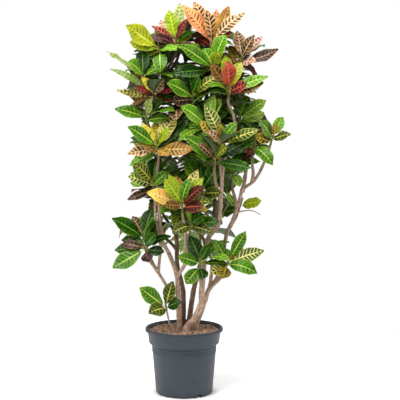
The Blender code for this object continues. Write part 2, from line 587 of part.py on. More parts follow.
def place_grown_leaves(space, name, shoot, leaves):
    """Leaves of a rosette that follow the spiral, old and spread ones lowest."""
    base, axis, length = shoot
    crown = base + axis * length
    draw = random.Random(name)
    rear = not ROSETTES[name][4]
    count = REAR_LEAVES if rear else FEWER_LEAVES.get(name, FILL_LEAVES)
    side = axis.cross(VIEWER).normalized()
    back = side.cross(axis).normalized()
    if back.y < 0:
        back = -back
    start = draw.uniform(0, 2 * math.pi) if rear else math.radians(draw.uniform(-25, 25))
    placed = 0
    for number in range(count * 2):
        if placed == count:
            break
        share = number / (count * 2 - 1)
        turn = start + GOLDEN_ANGLE * number if rear else start + (number - 1) * 0.9
        tilt = math.radians(112 - 78 * share + draw.uniform(-8, 8))
        reach = LEAF_LENGTH[1] + (LEAF_LENGTH[0] - LEAF_LENGTH[1]) * share
        width = LEAF_WIDTH * draw.uniform(0.85, 1.15)
        arch = draw.uniform(0.09, 0.15) + 0.05 * (1 - share)
        wave = 1 if number % 2 else -1
        if grow_leaf(space, name, leaves, (crown, axis, length, side, back),
                     (turn, tilt, reach, width, arch, wave)):
            placed += 1
    return placed


def is_inside_edge(point):
    """Whether a point looks inside the crown's edge from the front."""
    seen = EYE + (point - EYE) * (EYE.y / (EYE.y - point.y))
    inside = False
    for (x, z), (next_x, next_z) in zip(CROWN_EDGE, CROWN_EDGE[1:] + CROWN_EDGE[:1]):
        if (z > seen.z) != (next_z > seen.z):
            crossing = x + (next_x - x) * (seen.z - z) / (next_z - z)
            if crossing > seen.x:
                inside = not inside
    return inside


def stays_in_crown(leaf):
    """Whether the tip and the widest place of a leaf look inside the crown's edge."""
    across = leaf.axes(0.6)[1] * leaf.width * 0.4
    middle = leaf.rib(0.6)
    return all(is_inside_edge(point) for point in (leaf.tip, middle - across, middle + across))


def grow_leaf(space, name, leaves, shoot, habit):
    """Try one leaf of the spiral, turned, tilted and shortened until it fits."""
    crown, axis, length, side, back = shoot
    turn, tilt, reach, width, arch, wave = habit
    for size in (1.0, 0.88, 0.76):
        for tilted in (0, -0.2, 0.2, -0.4):
            for turned in (0, 0.2, -0.2, 0.4, -0.4, 0.6, -0.6):
                around = turn + turned
                outward = back * math.cos(around) + side * math.sin(around)
                lean = tilt + tilted
                along = axis * math.cos(lean) + outward * math.sin(lean)
                root = crown - axis * root_depth(axis, along, length)
                light = outward * 0.5 + UP * 0.3
                face = leaf_face(axis, along, light)
                leaf = Leaf(root, root + along * reach * size, face, width * size, arch, wave,
                            GROWN_STATIONS)
                if stays_in_crown(leaf) and place(space, name, leaves, leaf):
                    return True
    return False


def lay_out_leaves(routes, branches, shoots):
    """Every leaf of every rosette, clear of the wood and of each other."""
    space = Space()
    for limb, route in routes.items():
        space.add(LIMBS[limb][0], *tube_surface(route, limb_radii(limb, route), 8, CLEARANCE))
    for name, points in branches.items():
        stem = LIMBS[ROSETTES[name][1]][0]
        space.add(stem, *tube_surface(points, branch_radii(name, points), 6, CLEARANCE))
    for name, (base, axis, length) in shoots.items():
        points = [base, base + axis * length]
        space.add(name, *tube_surface(points, [SHOOT_RADIUS, SHOOT_TIP_RADIUS], 6, CLEARANCE))
    leaves = {name: [] for name in ROSETTES}
    for name in ROSETTES:
        place_seen_leaves(space, name, shoots[name], leaves[name])
    for name in ROSETTES:
        place_grown_leaves(space, name, shoots[name], leaves[name])
    return leaves


def clear_scene():
    """Start from an empty scene."""
    for item in list(bpy.data.objects):
        bpy.data.objects.remove(item)


def make_collection(name):
    """A collection linked to the scene."""
    collection = bpy.data.collections.new(name)
    bpy.context.scene.collection.children.link(collection)
    return collection


def make_material(name, colour, roughness):
    """A plain surface of one colour."""
    material = bpy.data.materials.new(name)
    material.use_nodes = True
    shader = material.node_tree.nodes["Principled BSDF"]
    shader.inputs["Base Color"].default_value = (*colour, 1.0)
    shader.inputs["Roughness"].default_value = roughness
    shader.inputs["Metallic"].default_value = 0.0
    return material


def mesh_of(item):
    """The mesh of an object with its modifiers carried out."""
    graph = bpy.context.evaluated_depsgraph_get()
    return bpy.data.meshes.new_from_object(item.evaluated_get(graph))


def add_mesh_object(name, mesh, collection):
    """An object for a mesh."""
    item = bpy.data.objects.new(name, mesh)
    collection.objects.link(item)
    return item


def turned(name, profile, collection):
    """A profile of radius and height turned round the upright axis."""
    mesh = bpy.data.meshes.new(name)
    shape = bmesh.new()
    row = [shape.verts.new((radius, 0, height)) for radius, height in profile]
    for first, second in zip(row, row[1:]):
        shape.edges.new((first, second))
    shape.to_mesh(mesh)
    shape.free()
    item = add_mesh_object(name, mesh, collection)
    screw = item.modifiers.new("turn", "SCREW")
    screw.axis = "Z"
    screw.angle = 2 * math.pi
    screw.steps = POT_SIDES
    screw.render_steps = POT_SIDES
    screw.use_merge_vertices = True
    screw.merge_threshold = 0.00001
    return item


def add_cutter(name, build, cutters):
    """A guide that a Boolean cuts with."""
    mesh = bpy.data.meshes.new(name)
    shape = bmesh.new()
    build(shape)
    shape.to_mesh(mesh)
    shape.free()
    cutter = add_mesh_object(name, mesh, cutters)
    cutter.hide_render = True
    cutter.display_type = "WIRE"
    return cutter


def cut(item, cutter):
    """Take the cutter's shape out of the item."""
    boolean = item.modifiers.new(cutter.name, "BOOLEAN")
    boolean.operation = "DIFFERENCE"
    boolean.object = cutter


def inner_wall_radius(height):
    """Radius of the pot's inside at a height above its step."""
    step = POT_HEIGHT - COLLAR_DEPTH
    foot = COLLAR_RADIUS - 0.005 - POT_WALL
    share = (height - step) / COLLAR_DEPTH
    return foot + (COLLAR_RADIUS - POT_WALL - foot) * share


def body_radius(height):
    """Radius of the pot's outside below its step."""
    top = POT_HEIGHT - COLLAR_DEPTH - 0.004
    return BODY_FOOT_RADIUS + (BODY_TOP_RADIUS - BODY_FOOT_RADIUS) * height / top


def make_pot(parts, cutters):
    """A nursery pot: rolled lip, plain collar, a step in to the body, drain notches at its foot."""
    step = POT_HEIGHT - COLLAR_DEPTH
    floor = POT_WALL + 0.0005
    inside_step = step - 0.008
    collar_foot = COLLAR_RADIUS - 0.005
    bead = inside_step - 0.003
    profile = [
        (0, floor),
        (body_radius(floor) - POT_WALL - 0.006, floor),
        (body_radius(0.010) - POT_WALL, 0.010),
        (body_radius(inside_step) - POT_WALL, inside_step),
        (inner_wall_radius(step), step),
        (inner_wall_radius(POT_HEIGHT - 0.006), POT_HEIGHT - 0.006),
        (COLLAR_RADIUS + 0.003, POT_HEIGHT),
        (RIM_RADIUS - 0.002, POT_HEIGHT - 0.001),
        (RIM_RADIUS, POT_HEIGHT - 0.005),
        (RIM_RADIUS - 0.001, POT_HEIGHT - 0.012),
        (COLLAR_RADIUS, POT_HEIGHT - 0.013),
        (collar_foot, step - 0.003),
        (body_radius(step) + 0.002, step - 0.006),
        (body_radius(bead) + 0.0002, bead),
        (body_radius(bead) + 0.0020, bead - 0.003),
        (body_radius(bead), bead - 0.006),
        (body_radius(0.012), 0.012),
        (body_radius(0.003) - 0.002, 0.003),
        (body_radius(0) - 0.006, 0),
        (0, 0),
    ]
    pot = turned("pot", profile, parts)
    pot.data.materials.append(make_material("pot_plastic", (0.070, 0.090, 0.106), 0.45))
    for number in range(DRAIN_NOTCHES):
        azimuth = DRAIN_AZIMUTH + 2 * math.pi * number / DRAIN_NOTCHES

        def notch(shape, azimuth=azimuth):
            depth = 0.024
            size = Matrix.Diagonal((depth, DRAIN_WIDTH, DRAIN_HEIGHT * 2, 1))
            place_at = Matrix.Translation((BODY_FOOT_RADIUS - 0.008 + depth / 2, 0, 0))
            turn = Matrix.Rotation(azimuth, 4, "Z")
            bmesh.ops.create_cube(shape, size=1, matrix=turn @ place_at @ size)

        cut(pot, add_cutter(f"drain_notch_{number + 1}", notch, cutters))
    return pot


def make_soil(parts, cutters):
    """Peat that fills the pot, low at the wall, with a plain hole round each stem."""
    step = POT_HEIGHT - COLLAR_DEPTH
    inside_step = step - 0.008
    gap = FIT_GAP + 0.0001
    edge = SOIL_TOP - SOIL_EDGE_DROP
    floor = POT_WALL + 0.0005 + FIT_GAP
    profile = [
        (0, SOIL_TOP),
        (0.060, SOIL_TOP - 0.001),
        (0.105, SOIL_TOP - 0.003),
        (inner_wall_radius(edge) - gap, edge),
        (inner_wall_radius(step) - gap, step),
        (body_radius(inside_step) - POT_WALL - gap, inside_step),
        (body_radius(0.010) - POT_WALL - gap, 0.010),
        (body_radius(floor) - POT_WALL - 0.006 - gap, floor),
        (0, floor),
    ]
    soil = turned("soil", profile, parts)
    soil.data.materials.append(make_material("peat", (0.150, 0.085, 0.050), 0.95))
    for limb, (stem, parent, fork, radius, end_radius, way) in LIMBS.items():
        if parent:
            continue
        hole_radius = radius / math.cos(math.pi / HOLE_SIDES) + FIT_GAP + 0.0002
        height = SOIL_TOP - HOLE_FLOOR + 0.020

        def hole(shape, way=way, hole_radius=hole_radius, height=height):
            middle = Matrix.Translation((way[0][0], way[0][1], HOLE_FLOOR + height / 2))
            bmesh.ops.create_cone(shape, cap_ends=True, segments=HOLE_SIDES, depth=height,
                                  radius1=hole_radius, radius2=hole_radius, matrix=middle)

        cut(soil, add_cutter(f"hole_{limb}", hole, cutters))
    return soil


def make_tube(name, points, radii, rounding, collection):
    """A closed round tube along a line of points."""
    curve = bpy.data.curves.new(name, "CURVE")
    curve.dimensions = "3D"
    curve.bevel_depth = 1.0
    curve.bevel_resolution = rounding
    curve.use_fill_caps = True
    spline = curve.splines.new("POLY")
    spline.points.add(len(points) - 1)
    for knot, point, radius in zip(spline.points, points, radii):
        knot.co = (*point, 1.0)
        knot.radius = radius
    line = bpy.data.objects.new(name, curve)
    collection.objects.link(line)
    mesh = mesh_of(line)
    shape = bmesh.new()
    shape.from_mesh(mesh)
    bmesh.ops.remove_doubles(shape, verts=shape.verts, dist=0.000001)
    bmesh.ops.recalc_face_normals(shape, faces=shape.faces)
    shape.to_mesh(mesh)
    shape.free()
    tube = add_mesh_object(name + "_tube", mesh, collection)
    tube.matrix_world = line.matrix_world
    bpy.data.objects.remove(line)
    return tube


def make_blade(name, leaf, collection):
    """One leaf as a closed thin body, lofted from its stalk to its tip."""
    corners, faces = leaf.surface()
    mesh = bpy.data.meshes.new(name)
    mesh.from_pydata(corners, [], faces)
    shape = bmesh.new()
    shape.from_mesh(mesh)
    bmesh.ops.recalc_face_normals(shape, faces=shape.faces)
    shape.to_mesh(mesh)
    shape.free()
    return add_mesh_object(name, mesh, collection)


def fuse(name, first, collection, parts):
    """Join a body with those of a collection into one, and drop what it was made from."""
    parts.objects.link(first)
    collection.objects.unlink(first)
    union = first.modifiers.new("fuse", "BOOLEAN")
    union.operation = "UNION"
    union.operand_type = "COLLECTION"
    union.collection = collection
    mesh = mesh_of(first)
    for item in list(collection.objects):
        bpy.data.objects.remove(item)
    bpy.data.collections.remove(collection)
    bpy.data.objects.remove(first)
    mesh.name = name
    return add_mesh_object(name, mesh, parts)


def make_stem(stem, routes, branches, parts):
    """A woody stem with its forks and the branches that carry leaves."""
    pieces = make_collection(stem + "_pieces")
    tubes = []
    for limb, route in routes.items():
        if LIMBS[limb][0] == stem:
            tubes.append(make_tube(limb, route, limb_radii(limb, route), STEM_ROUNDING, pieces))
    for name, points in branches.items():
        if LIMBS[ROSETTES[name][1]][0] == stem:
            radii = branch_radii(name, points)
            tubes.append(make_tube("to_" + name, points, radii, BRANCH_ROUNDING, pieces))
    if len(tubes) == 1:
        wood = add_mesh_object(stem, tubes[0].data, parts)
        bpy.data.objects.remove(tubes[0])
        bpy.data.collections.remove(pieces)
    else:
        wood = fuse(stem, tubes[0], pieces, parts)
    wood.data.materials.append(make_material(stem + "_bark", (0.330, 0.235, 0.170), 0.85))
    return wood


def make_rosette(name, shoot, leaves, parts):
    """A young shoot with the leaves that grow from it."""
    base, axis, length = shoot
    pieces = make_collection(name + "_pieces")
    points = [base, base + axis * length]
    radii = [SHOOT_RADIUS, SHOOT_TIP_RADIUS]
    twig = make_tube(name + "_shoot", points, radii, SHOOT_ROUNDING, pieces)
    for number, leaf in enumerate(leaves):
        make_blade(f"{name}_leaf_{number + 1}", leaf, pieces)
    rosette = fuse("leaves_" + name, twig, pieces, parts)
    colour = LEAF_COLOURS[ROSETTES[name][0]]
    rosette.data.materials.append(make_material(name + "_leaf", colour, 0.35))
    return rosette


def smooth_round(item):
    """Shade a round piece smooth, with its sharp corners kept."""
    item.data.shade_smooth()
    item.data.set_sharp_from_angle(angle=math.radians(40))


def main():
    clear_scene()
    parts = make_collection("potted_croton")
    cutters = make_collection("cutters")
    smooth_round(make_pot(parts, cutters))
    smooth_round(make_soil(parts, cutters))
    routes, branches, shoots = lay_out_wood()
    leaves = lay_out_leaves(routes, branches, shoots)
    for stem in dict.fromkeys(LIMBS[limb][0] for limb in LIMBS):
        smooth_round(make_stem(stem, routes, branches, parts))
    for name in ROSETTES:
        make_rosette(name, shoots[name], leaves[name], parts)


if __name__ == "__main__":
    main()
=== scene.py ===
# %% [markdown]
# # A potted croton
# A croton is a house shrub that is sold by its leaves. A few woody stems rise from one nursery
# pot, fork into branches, and carry a rosette of stiff, glossy leaves at the end of each branch.
# Young leaves are lime and green with yellow veins, and old ones turn gold, orange, red and
# bronze, with dark bars between the veins.
#
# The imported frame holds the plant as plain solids, in metres, with the centre of the pot's
# underside at the origin. This script makes the fine surfaces that are seen in the place of those
# solids. The first thing kept is the frame's own size.

# %% Load the frame
import math
import random
from itertools import product

import bmesh
import bpy
import numpy as np
from mathutils import Matrix, Vector, noise
from mathutils.bvhtree import BVHTree


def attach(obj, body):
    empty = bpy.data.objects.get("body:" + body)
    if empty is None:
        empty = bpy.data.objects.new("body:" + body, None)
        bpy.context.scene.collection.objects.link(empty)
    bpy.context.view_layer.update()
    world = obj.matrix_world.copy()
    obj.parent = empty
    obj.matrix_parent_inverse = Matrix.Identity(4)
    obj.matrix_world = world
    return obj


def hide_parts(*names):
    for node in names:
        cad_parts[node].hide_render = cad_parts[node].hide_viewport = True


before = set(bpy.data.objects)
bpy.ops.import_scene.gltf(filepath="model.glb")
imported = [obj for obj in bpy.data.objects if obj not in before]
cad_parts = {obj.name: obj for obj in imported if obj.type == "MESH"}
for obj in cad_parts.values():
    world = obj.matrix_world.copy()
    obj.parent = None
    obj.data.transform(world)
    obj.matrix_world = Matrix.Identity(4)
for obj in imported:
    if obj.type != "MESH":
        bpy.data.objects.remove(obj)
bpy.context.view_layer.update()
scene = bpy.context.scene

# %% [markdown]
# ## Two small tools for materials
# A colour picked on a screen is an sRGB hex value, and a shader works with linear light, so one
# function turns the one into the other. Materials could be wired by hand in the node editor, but
# a tree is easier to read when each node is one call, with its settings and links side by side.
# So one function adds any kind of node and hands back the output that the next node takes.

# %% Colours and nodes
MIX_A = 6
MIX_B = 7
COLOUR_MIX = {"take": 2, "data_type": "RGBA"}


def linear(hex_colour):
    """An sRGB hex colour as linear red, green and blue."""
    values = [int(hex_colour[place:place + 2], 16) / 255 for place in (1, 3, 5)]
    return tuple(v / 12.92 if v <= 0.04045 else ((v + 0.055) / 1.055) ** 2.4 for v in values)


def paint(hex_colour):
    """An sRGB hex colour as a shader socket takes it."""
    return (*linear(hex_colour), 1.0)


def add(tree, kind, inputs=None, take=0, **settings):
    """Add a node; an input takes a value or an output, and the output named by take comes back."""
    node = tree.nodes.new("ShaderNode" + kind)
    for name, value in settings.items():
        setattr(node, name, value)
    for socket, value in (inputs or {}).items():
        if isinstance(value, bpy.types.NodeSocket):
            tree.links.new(value, node.inputs[socket])
        else:
            node.inputs[socket].default_value = value
    return node.outputs[take]


def start_material(name, **values):
    """A material with one Principled shader, whose even values are set on its own sockets."""
    material = bpy.data.materials.new(name)
    material.use_nodes = True
    tree = material.node_tree
    shader = tree.nodes["Principled BSDF"]
    for socket, value in values.items():
        shader.inputs[socket.replace("_", " ")].default_value = value
    return material, tree, shader


def plug(tree, shader, **outputs):
    """Link the outputs of nodes to the shader's sockets."""
    for socket, output in outputs.items():
        tree.links.new(output, shader.inputs[socket.replace("_", " ")])


print("mid grey is", [round(value, 3) for value in linear("#808080")])

# %% [markdown]
# ## The camera
# The photograph looks at the plant from 4.2 m away, a little below the top of the crown and
# tipped down by five and a half degrees, so that the pot's rim shows as a thin ellipse. A wide
# lens from near by would splay the pot's sides. A long one from further off draws them straight.

# %% Camera
CAMERA_PLACE = (0.060, -4.200, 1.130)
CAMERA_TILT = math.radians(5.41)
FOCAL_PIXELS = 1126
PICTURE_PIXELS = 400
SENSOR = 36.0
LENS = SENSOR * FOCAL_PIXELS / PICTURE_PIXELS

camera = bpy.data.objects.new("camera", bpy.data.cameras.new("camera"))
scene.collection.objects.link(camera)
camera.location = CAMERA_PLACE
camera.rotation_euler = (math.pi / 2 - CAMERA_TILT, 0, 0)
camera.data.sensor_width = SENSOR
camera.data.lens = LENS
scene.camera = camera
print("lens", round(LENS, 1), "mm")

# %% [markdown]
# ## The studio
# A catalogue picture stands its plant on white, without a shadow. A plain floor under a lamp would
# show a grey patch beside the pot. So the plant stands on a sheet of white acrylic that glows a
# little from below, before a white backdrop that burns out. Its glow fades in over the 3 cm just
# outside the pot's foot, which paints a soft shadow round the foot. The room itself is greyer than
# the backdrop: a camera ray sees plain white, and every other ray sees grey walls and a dim
# ceiling. That keeps the shadows among the leaves deep and their gloss clear, because a glossy
# leaf shows whatever is round it. Large soft boxes add the light with a direction: a strong one
# above, one high on the left in front, a weaker one on the right, one behind, and two tall strips
# beside the pot that draw the pale bands down its sides.

# %% Studio: room and lamps
WALLS = "#a4a4a4"
CEILING = "#5a5a5a"
WALL_TOP = math.sin(math.radians(12))
CEILING_START = math.sin(math.radians(28))
# Each lamp: its place, the point that it looks at, its width and height, and its watts
LAMPS = {
    "top_box": ((-0.3, -0.7, 3.4), (0.0, 0.0, 0.8), (2.2, 2.2), 105),
    "key_box": ((-2.3, -2.9, 2.9), (0.0, 0.0, 0.9), (2.2, 2.2), 72),
    "fill_box": ((2.8, -2.4, 1.9), (0.0, 0.0, 0.8), (1.8, 2.4), 26),
    "left_strip": ((-2.0, 0.3, 0.9), (0.0, 0.0, 0.5), (0.5, 2.0), 10),
    "right_strip": ((2.0, 0.3, 0.9), (0.0, 0.0, 0.5), (0.5, 2.0), 10),
    "back_box": ((0.4, 3.0, 2.4), (0.0, 0.0, 0.9), (2.0, 2.0), 28),
}

scene.view_settings.view_transform = "Standard"
world = bpy.data.worlds.new("white_studio")
world.use_nodes = True
scene.world = world
sky = world.node_tree
height = add(sky, "SeparateXYZ", {0: add(sky, "TexCoord", take="Generated")}, take="Z")
up = add(sky, "MapRange", {0: height, 1: WALL_TOP, 2: CEILING_START})
room = add(sky, "Mix", {0: up, MIX_A: paint(WALLS), MIX_B: paint(CEILING)}, **COLOUR_MIX)
seen_by_camera = add(sky, "LightPath", take="Is Camera Ray")
backdrop = add(sky, "Mix", {0: seen_by_camera, MIX_A: room, MIX_B: paint("#ffffff")}, **COLOUR_MIX)
sky.links.new(backdrop, sky.nodes["Background"].inputs["Color"])

for name, (place, aim, size, watts) in LAMPS.items():
    lamp = bpy.data.objects.new(name, bpy.data.lights.new(name, "AREA"))
    scene.collection.objects.link(lamp)
    lamp.data.shape = "RECTANGLE"
    lamp.data.size, lamp.data.size_y = size
    lamp.data.energy = watts
    lamp.location = place
    lamp.rotation_euler = (Vector(aim) - Vector(place)).to_track_quat("-Z", "Y").to_euler()
print("lamps", len(LAMPS), "watts", sum(lamp[3] for lamp in LAMPS.values()))

# %% Studio: floor
FLOOR_REACH = 1.4
FLOOR_GAP = 0.0005
FROSTING = 0.004
GLOW = 0.47
# The glow begins just outside the pot's foot and is full 3 cm further out, which paints a soft
# shadow round the foot
GLOW_START = 0.108
GLOW_FULL = 0.138


def lit_white_acrylic():
    """A frosted sheet lit from below: white, without gloss, its frosting only just uneven. The
    frosting is drawn at 4 mm, far coarser than the real one, so that it shows at all."""
    material, tree, shader = start_material("lit_white_acrylic", Roughness=0.9,
                                            Specular_IOR_Level=0.1,
                                            Emission_Color=paint("#ffffff"))
    where = add(tree, "TexCoord", take="Object")
    frosting = add(tree, "TexNoise", {"Vector": where, "Scale": 1 / FROSTING}, take="Fac")
    white = add(tree, "Mix", {0: frosting, MIX_A: paint("#f7f7f7"), MIX_B: paint("#fdfdfd")},
                **COLOUR_MIX)
    from_middle = add(tree, "VectorMath", {0: where}, take="Value", operation="LENGTH")
    # Dim by the foot and full further out: a painted shadow round the pot
    light = add(tree, "MapRange", {0: from_middle, 1: GLOW_START, 2: GLOW_FULL, 4: GLOW})
    plug(tree, shader, Base_Color=white, Emission_Strength=light)
    return material


floor_shape = bmesh.new()
bmesh.ops.create_circle(floor_shape, cap_ends=True, segments=96, radius=FLOOR_REACH)
floor_mesh = bpy.data.meshes.new("sweep")
floor_shape.to_mesh(floor_mesh)
floor_shape.free()
floor = bpy.data.objects.new("sweep", floor_mesh)
floor.location.z = -FLOOR_GAP
scene.collection.objects.link(floor)
floor.data.materials.append(lit_white_acrylic())
print("floor", round(2 * floor_mesh.vertices[0].co.length, 2), "m across")

# %% [markdown]
# ## A helper that turns points and faces into a piece
# Every fine piece ends the same way: its mesh becomes an object, its faces are shaded smooth up
# to a sharp angle, it wears its material, it rides on the plant's one body, and it replaces a
# plain solid. Those lines could stand after each mesh, but one helper keeps them the same. Values
# that a material reads, such as a leaf's colours, are stored with the mesh.

# %% Piece helper
def make_piece(name, mesh, material, replaced, sharp=50):
    """An object of the plant, made from a mesh and put in place of a plain solid."""
    mesh.shade_smooth()
    mesh.set_sharp_from_angle(angle=math.radians(sharp))
    mesh.materials.clear()
    mesh.materials.append(material)
    piece = bpy.data.objects.new(name, mesh)
    scene.collection.objects.link(piece)
    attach(piece, "root")
    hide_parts(replaced)
    return piece


def store(mesh, name, kind, values):
    """Keep a value for each point of a mesh, for its material to read."""
    field = {"FLOAT": "value", "FLOAT_VECTOR": "vector", "FLOAT_COLOR": "color"}[kind]
    attribute = mesh.attributes.new(name, kind, "POINT")
    attribute.data.foreach_set(field, np.asarray(values, np.float32).ravel())


def rows_to_faces(rows, around, first=0):
    """Faces of a tube given as rows of points that go round it, closed at both ends."""
    row, column = np.meshgrid(np.arange(rows - 1), np.arange(around), indexing="ij")
    following = (column + 1) % around
    corners = [row * around + column, row * around + following,
               (row + 1) * around + following, (row + 1) * around + column]
    quads = (np.stack(corners, -1).reshape(-1, 4) + first).tolist()
    start = list(range(first + around - 1, first - 1, -1))
    end = list(range(first + (rows - 1) * around, first + rows * around))
    return quads + [start, end]


print("a tube of 3 rows of 4 points has", len(rows_to_faces(3, 4)), "faces")

# %% [markdown]
# ## The pot
# The pot is a grower's pot, injection moulded in polypropylene. A thin wall is stiffened by a
# rolled lip, a plain collar and the step below it, and by low rings under the step; the foot
# curves in and has three small drain notches. It could be put together from cylinders, but they
# would leave a seam at each step. A turned piece is simpler as a profile of radius and height,
# carried round the upright axis by a Screw modifier. The frame's pot has flat facets so that it
# stays light. This one has the same profile with its corners rounded and many more steps. The
# notches are boxes, cut out of the foot by Boolean modifiers.

# %% Pot profile
POT_HEIGHT = 0.250
RIM_RADIUS = 0.147
COLLAR_RADIUS = 0.138
COLLAR_DEPTH = 0.055
COLLAR_TAPER = 0.005
STEP_HEIGHT = POT_HEIGHT - COLLAR_DEPTH
STEP_ROUND = 0.004
BODY_TOP_RADIUS = 0.123
BODY_FOOT_RADIUS = 0.107
POT_WALL = 0.003
INSIDE_FLOOR = POT_WALL + 0.0005
INSIDE_CORNER = (0.006, 0.010)
INSIDE_STEP = STEP_HEIGHT - 0.008
INSIDE_RIM = POT_HEIGHT - 0.008
RING_HEIGHTS = (0.170, 0.160)
RING_RISE = 0.0016
RING_WIDTH = 0.0052
RING_POINTS = 5
FOOT_START = 0.016
FOOT_ROUND = 0.0085


def body_radius(height):
    """Radius of the pot's outside below its step."""
    slope = (BODY_TOP_RADIUS - BODY_FOOT_RADIUS) * height
    return BODY_FOOT_RADIUS + slope / (STEP_HEIGHT - STEP_ROUND)


def inner_wall_radius(height):
    """Radius of the pot's inside above its step."""
    foot = COLLAR_RADIUS - COLLAR_TAPER - POT_WALL
    return foot + (COLLAR_RADIUS - POT_WALL - foot) * (height - STEP_HEIGHT) / COLLAR_DEPTH


def arc(centre, radius, start, end, count):
    """Points of an arc of a profile, from one angle in degrees to another."""
    angles = [math.radians(start + (end - start) * step / (count - 1)) for step in range(count)]
    return [(centre[0] + radius * math.cos(a), centre[1] + radius * math.sin(a)) for a in angles]


# Each rounded corner: its middle as radius and height, its own radius, angles and points
UPPER_CORNERS = {
    "lip_inside": ((COLLAR_RADIUS + 0.003, POT_HEIGHT - 0.006), 0.006, 170, 90, 5),
    "lip_outside": ((RIM_RADIUS - 0.004, POT_HEIGHT - 0.004), 0.004, 90, 0, 5),
    "lip_edge": ((RIM_RADIUS - 0.0015, POT_HEIGHT - 0.0115), 0.0015, 0, -90, 4),
    "under_lip": ((COLLAR_RADIUS + 0.0025, POT_HEIGHT - 0.0155), 0.0025, 90, 180, 4),
    "collar_foot": ((COLLAR_RADIUS - 0.0095, STEP_HEIGHT + 0.0005), 0.0048, -8, -80, 5),
    "under_step": ((body_radius(STEP_HEIGHT - 0.006) + 0.0030, STEP_HEIGHT - 0.0085),
                   0.0030, 100, 180, 5),
}
# The groove under the step: how far below the step, and how deep
STEP_GROOVE = ((0.0098, 0.0012), (0.0120, 0.0012), (0.0136, 0.0))


def pot_profile():
    """Radius and height from the inside's middle, up over the lip and down to the foot."""
    corner, corner_top = INSIDE_CORNER
    profile = [(0, INSIDE_FLOOR), (body_radius(INSIDE_FLOOR) - POT_WALL - corner, INSIDE_FLOOR)]
    profile += [(body_radius(height) - POT_WALL, height) for height in (corner_top, INSIDE_STEP)]
    profile += [(inner_wall_radius(height), height) for height in (STEP_HEIGHT, INSIDE_RIM)]
    for rounding in UPPER_CORNERS.values():
        profile += arc(*rounding)
    for drop, depth in STEP_GROOVE:
        profile.append((body_radius(STEP_HEIGHT - drop) - depth, STEP_HEIGHT - drop))
    for ring in RING_HEIGHTS:
        for turn in range(RING_POINTS):
            share = turn / (RING_POINTS - 1)
            height = ring + RING_WIDTH * (0.5 - share)
            profile.append((body_radius(height) + RING_RISE * math.sin(math.pi * share), height))
    profile.append((body_radius(FOOT_START), FOOT_START))
    profile += arc((body_radius(0.010) - 0.009, FOOT_ROUND), FOOT_ROUND, 0, -90, 7)
    profile.append((0, 0))
    return profile


print("the pot's profile has", len(pot_profile()), "points")

# %% Pot mesh
POT_STEPS = 144
DRAIN_NOTCHES = 3
DRAIN_AZIMUTH = math.radians(-57)
DRAIN_SIZE = (0.040, 0.026, 0.019)
DRAIN_DEPTH = 0.008


def turned(name, profile, steps):
    """The mesh of a profile carried round the upright axis."""
    mesh = bpy.data.meshes.new(name)
    mesh.from_pydata([(radius, 0, height) for radius, height in profile],
                     [(n, n + 1) for n in range(len(profile) - 1)], [])
    item = bpy.data.objects.new(name, mesh)
    scene.collection.objects.link(item)
    screw = item.modifiers.new("turn", "SCREW")
    screw.steps = screw.render_steps = steps
    screw.use_merge_vertices = True
    screw.merge_threshold = 0.00001
    return item


def cut_notches(pot):
    """Cut the drain notches out of the foot, and hand back the finished mesh."""
    cutters = []
    for number in range(DRAIN_NOTCHES):
        turn = Matrix.Rotation(DRAIN_AZIMUTH + 2 * math.pi * number / DRAIN_NOTCHES, 4, "Z")
        at = Matrix.Translation((BODY_FOOT_RADIUS - DRAIN_DEPTH, 0, 0))
        shape = bmesh.new()
        bmesh.ops.create_cube(shape, size=1, matrix=turn @ at @ Matrix.Diagonal((*DRAIN_SIZE, 1)))
        mesh = bpy.data.meshes.new("notch")
        shape.to_mesh(mesh)
        shape.free()
        cutters.append(bpy.data.objects.new(f"notch_{number + 1}", mesh))
        scene.collection.objects.link(cutters[-1])
        cut = pot.modifiers.new("notch", "BOOLEAN")
        cut.operation = "DIFFERENCE"
        cut.object = cutters[-1]
    graph = bpy.context.evaluated_depsgraph_get()
    mesh = bpy.data.meshes.new_from_object(pot.evaluated_get(graph))
    for item in cutters + [pot]:
        bpy.data.objects.remove(item)
    return mesh


print("the pot is turned in", POT_STEPS, "steps and has", DRAIN_NOTCHES, "notches")

# %% Pot finish
BLASTED_GRAIN = 0.0004
DUST_PATCH = 0.045


def moulded_polypropylene():
    """Polypropylene from a fine-blasted mould: slate grey, satin, IOR 1.49. The blasted grain is
    0.4 mm here, wider than the real tenth, so that it shows. Handling leaves faint dull patches."""
    material, tree, shader = start_material("moulded_polypropylene", IOR=1.49, Metallic=0.0)
    where = add(tree, "TexCoord", take="Object")
    grain = add(tree, "TexNoise", {"Vector": where, "Scale": 1 / BLASTED_GRAIN, "Detail": 2.0},
                take="Fac")
    dust = add(tree, "TexNoise", {"Vector": where, "Scale": 1 / DUST_PATCH, "Detail": 5.0},
               take="Fac")
    patches = add(tree, "MapRange", {0: dust, 1: 0.42, 2: 0.72})
    slate = add(tree, "Mix", {0: patches, MIX_A: paint("#232d36"), MIX_B: paint("#29333d")},
                **COLOUR_MIX)
    dull = add(tree, "MapRange", {0: patches, 3: 0.46, 4: 0.58})
    bump = add(tree, "Bump", {"Height": grain, "Strength": 0.25, "Distance": 0.0002})
    plug(tree, shader, Base_Color=slate, Roughness=dull, Normal=bump)
    return material


pot_mesh = cut_notches(turned("pot_profile", pot_profile(), POT_STEPS))
make_piece("nursery_pot", pot_mesh, moulded_polypropylene(), "pot", sharp=35)
print("pot faces", len(pot_mesh.polygons))

# %% [markdown]
# ## The peat
# The pot is filled with peat substrate: brown fibres and crumbs of 2 to 6 mm, with paler chips of
# wood and coco husk. From a step away it reads as a rough, warm brown surface that is a little
# higher round the stems. A disc raised and lowered by noise alone would look like cloth, and loose
# crumbs alone would let the pot's floor show. So it is both: a turned body that fits the pot,
# with a rough top, and crumbs strewn over it. They are small stones of eight faces, stretched,
# turned and half sunk by seeded draws. Colour comes with each crumb.

